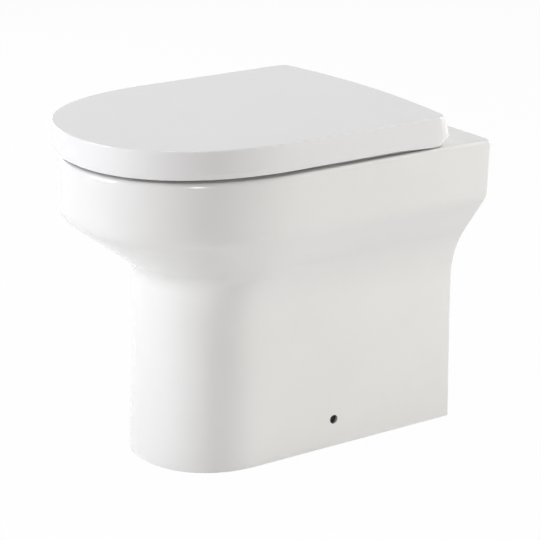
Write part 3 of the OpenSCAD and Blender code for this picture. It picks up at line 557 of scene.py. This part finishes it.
def pan_hollow():
    """The space inside the pan's walls, which is open to the floor and, low down, to the wall."""
    def ring(z, back):
        wall = mix(PAN_WALL, FLARE_WALL, clamp((z - FLARE_WALL_START) / FLARE_WALL_RUN))
        return d_ring(side_at(z) - PAN_WALL, front_at(z) - wall, back, nose_at(z) - PAN_WALL,
                      PAN_POWER, BACK_EDGE, z, counts=(4, 4, 10, 20))

    open_back = -3 * OVERLAP
    low = [0.0] + steps_between(WAIST_HEIGHT, BACK_OPENING, 14)
    high = steps_between(BACK_OPENING + 0.1, CHANNEL_TOP, 12)
    rings = [lowered(ring(0, open_back))] + [ring(z, open_back) for z in low]
    return loft(rings + [ring(z, PAN_WALL) for z in high])


def opening_share(z, power):
    """How far the bowl has opened at a height: 0 at the sump and 1 at the channel."""
    return math.sin(math.pi / 2 * clamp((z - SUMP_TOP) / (CHANNEL_TOP - SUMP_TOP))) ** power


def bowl_ring(z, grow=0.0):
    half = mix(SUMP_WIDTH / 2, CHANNEL_HALF, opening_share(z, BOWL_SPREAD)) + grow
    front = mix(SUMP_FRONT, CHANNEL_FRONT, opening_share(z, BOWL_SPREAD)) + grow
    rear = mix(SUMP_BACK, CHANNEL_BACK, opening_share(z, BOWL_REAR_SPREAD)) - grow
    return oval_ring(half, front, rear, z)


def sump_rings(grow):
    """The rounded floor of the sump, from its flat middle out to its wall."""
    rings = []
    for share, lift in SUMP_CURVE:
        inset = (1 - share) * SUMP_WIDTH / 2 - grow
        rings.append(oval_ring(SUMP_WIDTH / 2 - inset, SUMP_FRONT - inset, SUMP_BACK + inset,
                               SUMP_FLOOR - grow + lift * (SUMP_EDGE + grow)))
    return rings


def bowl_inside():
    """The water space: sump, bowl, flushing channel, and the mouth over the rolled lip."""
    def rim_ring(inward, z):
        return oval_ring(CHANNEL_HALF - inward, CHANNEL_FRONT - inward, CHANNEL_BACK + inward, z)

    lip = CHANNEL_WIDTH + LIP_THICKNESS
    lip_bottom = RIM_HEIGHT - LIP_DROP
    rings = sump_rings(0) + [bowl_ring(z) for z in steps_between(SUMP_TOP, CHANNEL_TOP, 26)[:-1]]
    rings += [rim_ring(0, CHANNEL_TOP), rim_ring(CHANNEL_WIDTH, CHANNEL_TOP)]
    rings += [rim_ring(CHANNEL_WIDTH + a, lip_bottom + b) for a, b in rounding(LIP_EDGE, 6)]
    rings += [rim_ring(lip - b, lip_bottom + a) for a, b in rounding(LIP_EDGE, 6)]
    rings += [rim_ring(lip - a, RIM_HEIGHT - b) for a, b in rounding(MOUTH_EDGE, 8)]
    rings.append(rim_ring(lip - MOUTH_EDGE, RIM_HEIGHT + 2 * OVERLAP))
    return loft(rings)


def bowl_outside():
    return loft(sump_rings(BOWL_WALL)
                + [bowl_ring(z, BOWL_WALL) for z in steps_between(SUMP_TOP, CHANNEL_TOP, 12)]
                + [bowl_ring(CHANNEL_TOP + OVERLAP, BOWL_WALL)])


def trap_path():
    """Centre line of the trap, as setbacks and heights, from the sump over the weir to the outlet."""
    crest = WATER_LEVEL + TRAP_RADIUS
    leg = SUMP_BACK - DIP_WALL - TRAP_RADIUS
    over = Vector((leg - TRAP_BEND, crest - TRAP_BEND))
    rise = OUTLET_HEIGHT + TRAP_BEND - over[1]
    down = Vector((over[0] - math.sqrt((2 * TRAP_BEND) ** 2 - rise * rise), OUTLET_HEIGHT + TRAP_BEND))
    lean = math.asin(rise / (2 * TRAP_BEND))

    def arc(centre, start, end, steps):
        return [centre + TRAP_BEND * Vector((math.cos(turn), math.sin(turn)))
                for turn in steps_between(start, end, steps)]

    path = [Vector((SUMP_BACK + TRAP_START, TRAP_MOUTH))]
    path += arc(Vector((leg + TRAP_BEND, TRAP_MOUTH + TRAP_BEND)), 1.5 * math.pi, math.pi, 8)
    path += arc(over, 0, math.pi - lean, 16)
    path += arc(down, -lean, -math.pi / 2, 8)[1:]
    return path + [Vector((OUTLET_SETBACK + OVERLAP, OUTLET_HEIGHT))]


def trap_tube(radius, sides=48):
    path = trap_path()
    rings = []
    for i, point in enumerate(path):
        heading = (path[min(i + 1, len(path) - 1)] - path[max(i - 1, 0)]).normalized()
        rings.append([
            place(radius * math.cos(turn), point[0] + radius * math.sin(turn) * heading[1],
                  point[1] - radius * math.sin(turn) * heading[0])
            for turn in (2 * math.pi * k / sides for k in range(sides))
        ])
    return loft(rings)


def side_hole(side):
    """Tools for one side hole: the bore through the wall, and its wider mouth inside."""
    def spot(depth):
        return place(side * (side_at(SIDE_HOLE_HEIGHT) - depth), SIDE_HOLE_SETBACK, SIDE_HOLE_HEIGHT)

    bore = rod(spot(2 * PAN_WALL), spot(-2 * OVERLAP), SIDE_HOLE_RADIUS, 64)
    mouth = rod(spot(SIDE_HOLE_THROAT), spot(PAN_WALL + SIDE_HOLE_OVERCUT), SIDE_HOLE_RADIUS, 64,
                SIDE_HOLE_RADIUS + SIDE_HOLE_FLARE)
    return [("DIFFERENCE", bore), ("DIFFERENCE", mouth)]


def make_pan():
    box_floor = INLET_HEIGHT - INLET_RADIUS - FLUSH_FLOOR_GAP
    outlet_end = OUTLET_SETBACK + OUTLET_LENGTH
    relief_end = OUTLET_SETBACK + OUTLET_LENGTH / 3
    passage_front = CHANNEL_BACK + CHANNEL_WIDTH / 2
    steps = [
        ("DIFFERENCE", pan_hollow()),
        ("UNION", bowl_outside()),
        ("UNION", trap_tube(TRAP_RADIUS + BOWL_WALL)),
        ("UNION", middle_box(FLUSH_BOX_WIDTH / 2 + PAN_WALL, PAN_WALL / 2, FLUSH_BOX_FRONT + PAN_WALL,
                             box_floor - PAN_WALL, CHANNEL_TOP + OVERLAP)),
        ("UNION", wall_rod(OUTLET_SETBACK, outlet_end, OUTLET_HEIGHT, OUTLET_RADIUS)),
        ("DIFFERENCE", bowl_inside()),
        ("DIFFERENCE", trap_tube(TRAP_RADIUS)),
        ("DIFFERENCE", middle_box(FLUSH_BOX_WIDTH / 2, INLET_LENGTH, FLUSH_BOX_FRONT, box_floor,
                                  CHANNEL_TOP)),
        ("DIFFERENCE", middle_box(PASSAGE_WIDTH / 2, FLUSH_BOX_FRONT - OVERLAP, passage_front,
                                  CHANNEL_TOP - PASSAGE_HEIGHT, CHANNEL_TOP)),
        ("DIFFERENCE", wall_rod(OUTLET_SETBACK - 2 * OVERLAP, relief_end, OUTLET_HEIGHT,
                                TRAP_RADIUS + OUTLET_RELIEF)),
        ("DIFFERENCE", wall_rod(-2 * OVERLAP, INLET_LENGTH + OVERLAP, INLET_HEIGHT, INLET_RADIUS)),
    ]
    for _, side in SIDES:
        stud_hole = upright_rod(side * STUD_X, STUD_SETBACK, CHANNEL_TOP - OVERLAP, RIM_HEIGHT + OVERLAP,
                                DECK_HOLE, 64)
        steps.append(("DIFFERENCE", stud_hole))
        steps += side_hole(side)
    pan = carve("pan_shell", pan_outside(), steps)
    return dress(pan, CERAMIC, BASE, "glazed_ceramic", "pan")


# ---------- lid ----------

def lid_back(z):
    """Distance from the wall to the middle of the lid's back face."""
    arc_z = min(z, TAIL_Z)
    on_arc = HINGE_SETBACK - math.sqrt(TAIL_RADIUS ** 2 - (HINGE_HEIGHT - arc_z) ** 2)
    return on_arc + TAIL_SLOPE * (z - arc_z) / (LID_TOP - TAIL_Z)


def dropped(ring, z, drop):
    """A ring of the skirt let down towards the back, as far as its swing over the deck allows."""
    for point in ring:
        setback = OVERALL_DEPTH / 2 - point.y / MM
        low = z - drop * smooth(clamp((DROP_START - setback) / DROP_RUN))
        behind = max(HINGE_SETBACK - setback, 0.0)
        swing = HINGE_HEIGHT - math.sqrt(max(DROP_SWING ** 2 - behind ** 2, 0.0))
        point.z = MM * min(z, max(low, swing))
    return ring


def lid_ring(z, inset=0.0, shell=0.0):
    """One level of the lid's outside, or of its inside where shell is the wall's thickness."""
    below_tail = clamp((TAIL_Z - z) / TAIL_HEIGHT)
    above_tail = clamp((z - TAIL_Z) / (LID_TOP - TAIL_Z))
    rise = clamp((z - LID_BOTTOM) / (LID_TOP - LID_BOTTOM))
    draw = SKIRT_DRAW * below_tail + inset + shell
    ring = d_ring(LID_WIDTH / 2 - draw + LID_SIDE_LEAN * above_tail,
                  LID_REACH - draw + LID_FRONT_LEAN * above_tail,
                  lid_back(z) + inset + shell, LID_NOSE * LID_WIDTH / 2 - inset - shell, LID_POWER,
                  mix(LID_FOOT_CORNER, LID_TOP_CORNER, rise) - shell, z,
                  mix(TAIL_BOW, TOP_BOW, above_tail), counts=(12, 8, 12, 36))
    return dropped(ring, z, SKIRT_DROP * below_tail)


def lid_outside():
    rings = [lid_ring(LID_BOTTOM + rise, inset) for rise, inset in rounding(LID_LIP, 4)]
    rings += [lid_ring(z) for z in steps_between(LID_BOTTOM + LID_LIP, TAIL_Z, 6)[1:]]
    rings += [lid_ring(z) for z in steps_between(TAIL_Z, LID_TOP - LID_EDGE, 5)[1:]]
    rings += [lid_ring(LID_TOP - drop, inset) for inset, drop in rounding(LID_EDGE, 8, first=1)]
    rings.append(lid_ring(LID_TOP, LID_EDGE + CAP_INSET))
    return loft(rings)


def lid_inside():
    levels = steps_between(LID_BOTTOM, TAIL_Z, 6)
    levels += steps_between(TAIL_Z, LID_INNER_TOP - LID_INNER_EDGE, 3)[1:]
    rings = [lowered(lid_ring(LID_BOTTOM, shell=LID_WALL))]
    rings += [lid_ring(z, shell=LID_WALL) for z in levels]
    rings += [lid_ring(LID_INNER_TOP - drop, inset, LID_WALL)
              for inset, drop in rounding(LID_INNER_EDGE, 3, first=1)]
    return loft(rings)


def arm_slots(front, low, high):
    """Cuts that let the hinge arms through from the back as far as a setback."""
    half = ARM_WIDTH / 2 + ARM_SIDE_GAP
    return [("DIFFERENCE", box(side * STUD_X - half, side * STUD_X + half, -SLOT_REACH, front, low, high))
            for _, side in SIDES]


def make_lid():
    steps = [("DIFFERENCE", lid_inside())] + arm_slots(HINGE_SETBACK, RIM_HEIGHT, SLOT_TOP)
    lid = carve("lid_cover", lid_outside(), steps)
    return dress(lid, MOULDING, LID_BODY, "white_moulding", "lid")


# ---------- seat ----------

def make_seat():
    half = LID_WIDTH / 2 - LID_WALL - SEAT_CLEARANCE
    reach = LID_REACH - LID_WALL - SEAT_CLEARANCE

    def ring(z, inset):
        return d_ring(half - inset, reach - inset, SEAT_BACK + inset, LID_NOSE * half - inset, LID_POWER,
                      SEAT_CORNER, z, counts=(12, 8, 12, 36))

    def hole(z, grow):
        return oval_ring(SEAT_OPENING / 2 + grow, reach - SEAT_FRONT + grow, SEAT_OPENING_BACK - grow, z)

    rings = [ring(SEAT_BOTTOM + rise, inset) for rise, inset in rounding(SEAT_FOOT, 4)]
    rings += [ring(SEAT_TOP - drop, inset) for inset, drop in rounding(SEAT_EDGE, 12)]
    rings.append(ring(SEAT_TOP, SEAT_EDGE + CAP_INSET))
    opening = [hole(SEAT_BOTTOM - OVERLAP, SEAT_FOOT)]
    opening += [hole(SEAT_BOTTOM + rise, grow) for rise, grow in rounding(SEAT_FOOT, 4)]
    opening += [hole(SEAT_TOP - drop, grow) for grow, drop in rounding(SEAT_INNER_EDGE, 12)]
    opening.append(hole(SEAT_TOP + OVERLAP, SEAT_INNER_EDGE))
    slot_front = STUD_SETBACK + POST_LENGTH / 2 + SWING_GAP
    tongue_bottom = HINGE_HEIGHT - TONGUE_DROP
    tongue_slot = middle_box(TONGUE_HALF + TONGUE_FIT, 0, SEAT_BACK + TONGUE_LENGTH + TONGUE_FIT,
                             tongue_bottom - TONGUE_FIT, tongue_bottom + TONGUE_THICKNESS + TONGUE_FIT)
    steps = [("DIFFERENCE", loft(opening))] + arm_slots(slot_front, SEAT_BOTTOM - OVERLAP, SEAT_TOP + OVERLAP)
    seat = carve("seat_ring", loft(rings), steps + [("DIFFERENCE", tongue_slot)])
    return dress(seat, MOULDING, SEAT_BODY, "white_moulding", "seat")


# ---------- small fixings ----------

def thread(x, setback, top, length):
    """Threaded rod below a height: one upright profile, spun round once while it climbs one turn."""
    turns = int(length / THREAD_PITCH)
    root, start = STUD_RADIUS - THREAD_DEPTH, top - turns * THREAD_PITCH
    points = []
    for i in range(turns):
        z = start + i * THREAD_PITCH
        points += [(root, z)] + [(STUD_RADIUS, z + THREAD_PITCH * share) for share in THREAD_CREST]
    points.append((root, top))
    bm = bmesh.new()
    verts = [bm.verts.new(place(x + radius, setback, z)) for radius, z in points]
    for a, b in zip(verts, verts[1:]):
        bm.edges.new((a, b))
    steps = 24
    bmesh.ops.spin(bm, geom=bm.verts[:] + bm.edges[:], cent=place(x, setback, 0), axis=(0, 0, 1),
                   dvec=(0, 0, -THREAD_PITCH * MM / steps), angle=2 * math.pi, steps=steps)
    bmesh.ops.remove_doubles(bm, verts=bm.verts, dist=1e-5)
    bmesh.ops.holes_fill(bm, edges=[e for e in bm.edges if e.is_boundary], sides=0)
    bmesh.ops.recalc_face_normals(bm, faces=bm.faces)
    return bm


def make_stud(word, side):
    x = side * STUD_X
    blank = turned(rounded(HEAD_RADIUS, HEAD_SEAT, HEAD_SEAT + HEAD_HEIGHT, HEAD_EDGE), x, STUD_SETBACK)
    socket = upright_rod(x, STUD_SETBACK, HEAD_SEAT + SOCKET_FLOOR, HEAD_SEAT + HEAD_HEIGHT + OVERLAP,
                         SOCKET_RADIUS, 6)
    piece = carve(f"stud_head_{word}", blank, [("DIFFERENCE", socket)])
    head = bmesh.new()
    head.from_mesh(piece.data)
    bpy.data.objects.remove(piece)
    shank_end = HEAD_SEAT - STUD_PLAIN
    shank = turned(rounded(STUD_RADIUS - SHANK_UNDERSIZE, shank_end, HEAD_SEAT, SHANK_EDGE), x, STUD_SETBACK)
    screw = thread(x, STUD_SETBACK, shank_end, STUD_LENGTH - STUD_PLAIN)
    stud = joined(f"stud_{word}", [head, shank, screw], 50)
    dress(stud, STEEL, BASE, "steel", f"fixing_stud_{word}")


def make_bush(word, side):
    """Rubber bush with a collar in the deck's hole and ribs round its skirt."""
    top, inner, collar = CHANNEL_TOP, STUD_RADIUS + FIXING_GAP, DECK_HOLE - FIXING_GAP
    bottom, collar_top = top - RUBBER_HEIGHT, top + BUSH_COLLAR
    profile = [(inner, bottom), (WASHER_RADIUS - RUBBER_EDGE, bottom), (WASHER_RADIUS, bottom + RUBBER_EDGE)]
    for i in range(RIB_COUNT):
        low = bottom + RIB_START + i * RIB_PITCH
        base = mix(WASHER_RADIUS, RUBBER_RADIUS, (low - bottom) / RUBBER_HEIGHT)
        profile += [(base, low), (base - RIB_STEP, low + RIB_STEP), (base - RIB_STEP, low + 2 * RIB_STEP),
                    (base + RIB_BULGE, low + 3 * RIB_STEP)]
    profile += [(RUBBER_RADIUS, top - RUBBER_EDGE), (RUBBER_RADIUS - RUBBER_TOP_EDGE, top), (collar, top),
                (collar, collar_top - RUBBER_EDGE), (collar - RUBBER_EDGE, collar_top),
                (inner, collar_top), (inner, bottom)]
    bush = finish_mesh(f"bush_{word}", turned(profile, side * STUD_X, STUD_SETBACK), 35)
    dress(bush, BLACK_RUBBER, BASE, "black_rubber", f"stud_bush_{word}")


def make_washer(word, side):
    top, inner = CHANNEL_TOP - RUBBER_HEIGHT, STUD_RADIUS + FIXING_GAP
    low = top - WASHER_THICKNESS
    outside = rounded(WASHER_RADIUS, low, top, WASHER_EDGE)[1:-1]
    profile = [(inner, low)] + outside + [(inner, top), (inner, low)]
    washer = finish_mesh(f"washer_{word}", turned(profile, side * STUD_X, STUD_SETBACK), 35)
    dress(washer, STEEL, BASE, "steel", f"stud_washer_{word}")


def wing_blade(x, low):
    """Both wings as one tapered plate through the hub, with its ends rounded."""
    wings = bmesh.new()
    bmesh.ops.create_cube(wings, size=1.0)
    bmesh.ops.scale(wings, vec=Vector((WING_THICKNESS, 2 * WING_REACH, WING_HEIGHT)) * MM, verts=wings.verts)
    for vert in wings.verts:
        if vert.co.z > 0:
            vert.co.y *= WING_TAPER
    bmesh.ops.translate(wings, vec=place(x, STUD_SETBACK, low + WING_HEIGHT / 2), verts=wings.verts)
    across = [e for e in wings.edges if abs(e.verts[0].co.y - e.verts[1].co.y) < 1e-6]
    bmesh.ops.bevel(wings, geom=across, offset=WING_EDGE * MM, offset_type="OFFSET", affect="EDGES",
                    segments=4, profile=0.5, material=-1)
    return wings


def make_wing_nut(word, side):
    x, top = side * STUD_X, CHANNEL_TOP - RUBBER_HEIGHT - WASHER_THICKNESS
    low, neck = top - NUT_HEIGHT, NUT_RADIUS - NUT_DRAUGHT
    hub = [(0, low), (neck - NUT_CHAMFER, low), (neck, low + NUT_CHAMFER),
           (NUT_RADIUS - NUT_EDGE, top - NUT_FLANGE - NUT_STEP), (NUT_RADIUS, top - NUT_FLANGE),
           (NUT_RADIUS, top - NUT_EDGE), (NUT_RADIUS - NUT_EDGE, top), (0, top)]
    bore = upright_rod(x, STUD_SETBACK, low - OVERLAP, top + OVERLAP, STUD_RADIUS + NUT_THREAD_GAP, 48)
    nut = carve(f"wing_nut_{word}_piece", turned(hub, x, STUD_SETBACK),
                [("UNION", wing_blade(x, low)), ("DIFFERENCE", bore)], 35)
    dress(nut, HINGE_PLASTIC, BASE, "hinge_plastic", f"wing_nut_{word}")


def seat_buffer_profile(radius=SEAT_BUFFER_RADIUS):
    """Rounded foot under the seat, with a peg up into it."""
    low, high = RIM_HEIGHT + BUFFER_GAP, SEAT_BOTTOM
    foot = [(0, low + 0.15), (radius - 2.8, low), (radius - 1.4, low + 0.3), (radius - 0.4, low + 1.2),
            (radius, low + 2.4), (radius, high - 0.6), (radius - 0.3, high - 0.02)]
    peg = [(PEG_RADIUS, high - 0.02), (PEG_RADIUS, high + PEG_LENGTH - PEG_EDGE),
           (PEG_RADIUS - PEG_EDGE, high + PEG_LENGTH), (0, high + PEG_LENGTH)]
    return foot + peg


def lid_buffer_profile(radius=LID_BUFFER_RADIUS):
    """Domed pad under the lid, with a groove near its root."""
    low, high = SEAT_TOP + BUFFER_GAP, LID_INNER_TOP + BUFFER_SINK
    neck = radius - GROOVE_DEPTH
    dome = [(0, low), (radius - 3.4, low + 0.12), (radius - 1.6, low + 0.7), (radius - 0.5, low + 1.8),
            (radius, low + 3.4)]
    root = [(radius, high - 1.8), (neck, high - 1.4), (neck, high - 1.0), (radius, high - 0.7),
            (radius, high), (0, high)]
    return dome + root


def make_buffers():
    for row, (reach, setback, lid_inset) in BUFFER_PLACES.items():
        for word, side in SIDES:
            foot = turned(seat_buffer_profile(), side * reach, setback)
            dress(finish_mesh(f"seat_pad_{row}_{word}", foot, 50),
                  BUFFER_RUBBER, SEAT_BODY, "buffer_rubber", f"seat_buffer_{row}_{word}")
            dome = turned(lid_buffer_profile(), side * (reach - lid_inset), setback)
            dress(finish_mesh(f"lid_pad_{row}_{word}", dome, 50),
                  BUFFER_RUBBER, LID_BODY, "buffer_rubber", f"lid_buffer_{row}_{word}")


# ---------- carried over pieces ----------

# Material and width of the softened edges, by the start of the node's name
FINISHES = {
    "hinge_arm": (HINGE_METAL, 1.0),
    "arm_pad": (BLACK_RUBBER, 0.3),
    "hinge_pin": (STEEL, 0.4),
    "seat_hinge_bar": (HINGE_PLASTIC, 0.8),
    "seat_damper": (DAMPER_PLASTIC, 0.3),
    "seat_bush": (DAMPER_PLASTIC, 0.3),
    "lid_bracket": (HINGE_PLASTIC, 0.7),
    "lid_damper": (DAMPER_PLASTIC, 0.3),
    "lid_bush": (DAMPER_PLASTIC, 0.3),
    # Painted shade: the floor bracket gets the near-black so that, through the side holes, it reads as the
    # shaded inside of the pan.
    "floor_bracket": (BRACKET_SHADE_BLACK, 0.7),
}


def finish_carried(node, material, width):
    """Material and softened edges for a CAD node that is shown as it is."""
    node.data.materials.clear()
    node.data.materials.append(material)
    weld = node.modifiers.new("weld", "WELD")
    weld.merge_threshold = 1e-6
    soften = node.modifiers.new("soften", "BEVEL")
    soften.width = width * MM
    soften.segments = 3
    soften.limit_method = "ANGLE"
    soften.angle_limit = math.radians(40)
    soften.harden_normals = False


def finish_carried_nodes():
    for name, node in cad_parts.items():
        for stem, (material, width) in FINISHES.items():
            if name.startswith(stem):
                finish_carried(node, material, width)


# ---------- stage, lamps and camera ----------

FLOOR_SIZE, FLOOR_GREY, FLOOR_GLOW_SHARE = 30.0, 0.72, 0.975
WHITE, COOL, WARM = (1.0, 1.0, 1.0), (0.97, 0.972, 1.0), (1.0, 0.985, 0.955)
# Widths and heights of the lamps, and their distance from the point that they aim at, in metres
BOX, STRIP, NARROW_STRIP = (1.2, 1.2), (0.45, 1.2), (0.4, 1.4)
LAMP_DISTANCE, LAMP_AIM = 2.6, (0.0, 0.0, 0.25)
# Name, azimuth, elevation, size, power and colour. Azimuth 0 is in front of the bowl and 90 on its +X side.
LAMPS = (
    ("left_softbox", -90, 15, BOX, 29.2, COOL),
    ("front_left_strip", -30, 15, STRIP, 12.2, COOL),
    ("high_left_softbox", -30, 38, BOX, 9.7, COOL),
    ("front_strip", -15, 15, STRIP, 26.6, COOL),
    ("right_strip", 60, 15, STRIP, 18.2, WARM),
    ("rear_right_strip", 150, 15, STRIP, 42.3, WARM),
    ("edge_strip", 154, 48, NARROW_STRIP, 6.2, WHITE),
    ("top_softbox", 0, 88, BOX, 15.0, WHITE),
)
# The camera's place is in metres; it looks down by CAMERA_DIP and turns by CAMERA_TURN, in degrees.
LENS, SENSOR, CLIP_START, CLIP_END = 142.26, 36.0, 0.1, 100.0
CAMERA_PLACE, CAMERA_DIP, CAMERA_TURN = (2.19098, -1.45076, 1.08325), 18.088, 55.891


def backdrop_share(tree):
    """1 for rays that show the background: straight, by reflection or through glass."""
    path = tree.nodes.new("ShaderNodeLightPath")
    share = path.outputs["Is Camera Ray"]
    for kind in ("Is Glossy Ray", "Is Transmission Ray"):
        either = tree.nodes.new("ShaderNodeMath")
        either.operation = "MAXIMUM"
        tree.links.new(share, either.inputs[0])
        tree.links.new(path.outputs[kind], either.inputs[1])
        share = either.outputs[0]
    return share


def blend_to(tree, share, plain, shown, output_kind):
    """Shows one shader to the rays in a share and another to the rest."""
    blend = tree.nodes.new("ShaderNodeMixShader")
    output = tree.nodes.new(output_kind)
    tree.links.new(share, blend.inputs["Fac"])
    tree.links.new(plain.outputs[0], blend.inputs[1])
    tree.links.new(shown.outputs[0], blend.inputs[2])
    tree.links.new(blend.outputs["Shader"], output.inputs["Surface"])


def make_floor():
    """White floor that keeps the toilet's shadow."""
    bm = bmesh.new()
    bmesh.ops.create_grid(bm, x_segments=1, y_segments=1, size=FLOOR_SIZE)
    floor = finish_mesh("studio_floor", bm)
    material = bpy.data.materials.new("studio_floor")
    material.use_nodes = True
    tree = material.node_tree
    tree.nodes.clear()
    diffuse = tree.nodes.new("ShaderNodeBsdfDiffuse")
    diffuse.inputs["Color"].default_value = (FLOOR_GREY, FLOOR_GREY, FLOOR_GREY, 1)
    glow = tree.nodes.new("ShaderNodeEmission")
    glow.inputs["Strength"].default_value = 1.0
    share = tree.nodes.new("ShaderNodeMath")
    share.operation = "MULTIPLY"
    share.inputs[1].default_value = FLOOR_GLOW_SHARE
    tree.links.new(backdrop_share(tree), share.inputs[0])
    blend_to(tree, share.outputs[0], diffuse, glow, "ShaderNodeOutputMaterial")
    floor.data.materials.append(material)


def make_world():
    """White background that sheds no light of its own on matt surfaces."""
    world = bpy.data.worlds.new("studio")
    bpy.context.scene.world = world
    world.use_nodes = True
    tree = world.node_tree
    tree.nodes.clear()
    dark = tree.nodes.new("ShaderNodeBackground")
    dark.inputs["Strength"].default_value = 0.0
    white = tree.nodes.new("ShaderNodeBackground")
    white.inputs["Color"].default_value = (*WHITE, 1)
    white.inputs["Strength"].default_value = 1.0
    blend_to(tree, backdrop_share(tree), dark, white, "ShaderNodeOutputWorld")


def make_lamp(name, azimuth, elevation, size, power, colour):
    """Soft lamp aimed at the toilet."""
    lamp = bpy.data.lights.new(name, "AREA")
    lamp.shape = "RECTANGLE"
    lamp.size, lamp.size_y = size
    lamp.energy = power
    lamp.color = colour
    turn, lift = math.radians(azimuth), math.radians(elevation)
    towards = Vector((math.sin(turn) * math.cos(lift), -math.cos(turn) * math.cos(lift), math.sin(lift)))
    holder = bpy.data.objects.new(name, lamp)
    holder.location = Vector(LAMP_AIM) + towards * LAMP_DISTANCE
    holder.rotation_euler = towards.to_track_quat("Z", "Y").to_euler()
    bpy.context.scene.collection.objects.link(holder)


def make_camera():
    camera = bpy.data.cameras.new("camera")
    camera.lens = LENS
    camera.sensor_width = SENSOR
    camera.clip_start, camera.clip_end = CLIP_START, CLIP_END
    holder = bpy.data.objects.new("camera", camera)
    holder.location = CAMERA_PLACE
    holder.rotation_euler = (math.radians(90 - CAMERA_DIP), 0.0, math.radians(CAMERA_TURN))
    bpy.context.scene.collection.objects.link(holder)
    bpy.context.scene.camera = holder


# ---------- the whole scene ----------

make_pan()
make_lid()
make_seat()
for word, side in SIDES:
    make_stud(word, side)
    make_bush(word, side)
    make_washer(word, side)
    make_wing_nut(word, side)
make_buffers()
finish_carried_nodes()

make_floor()
make_world()
for lamp_settings in LAMPS:
    make_lamp(*lamp_settings)
make_camera()
bpy.context.scene.view_settings.view_transform = "Standard"
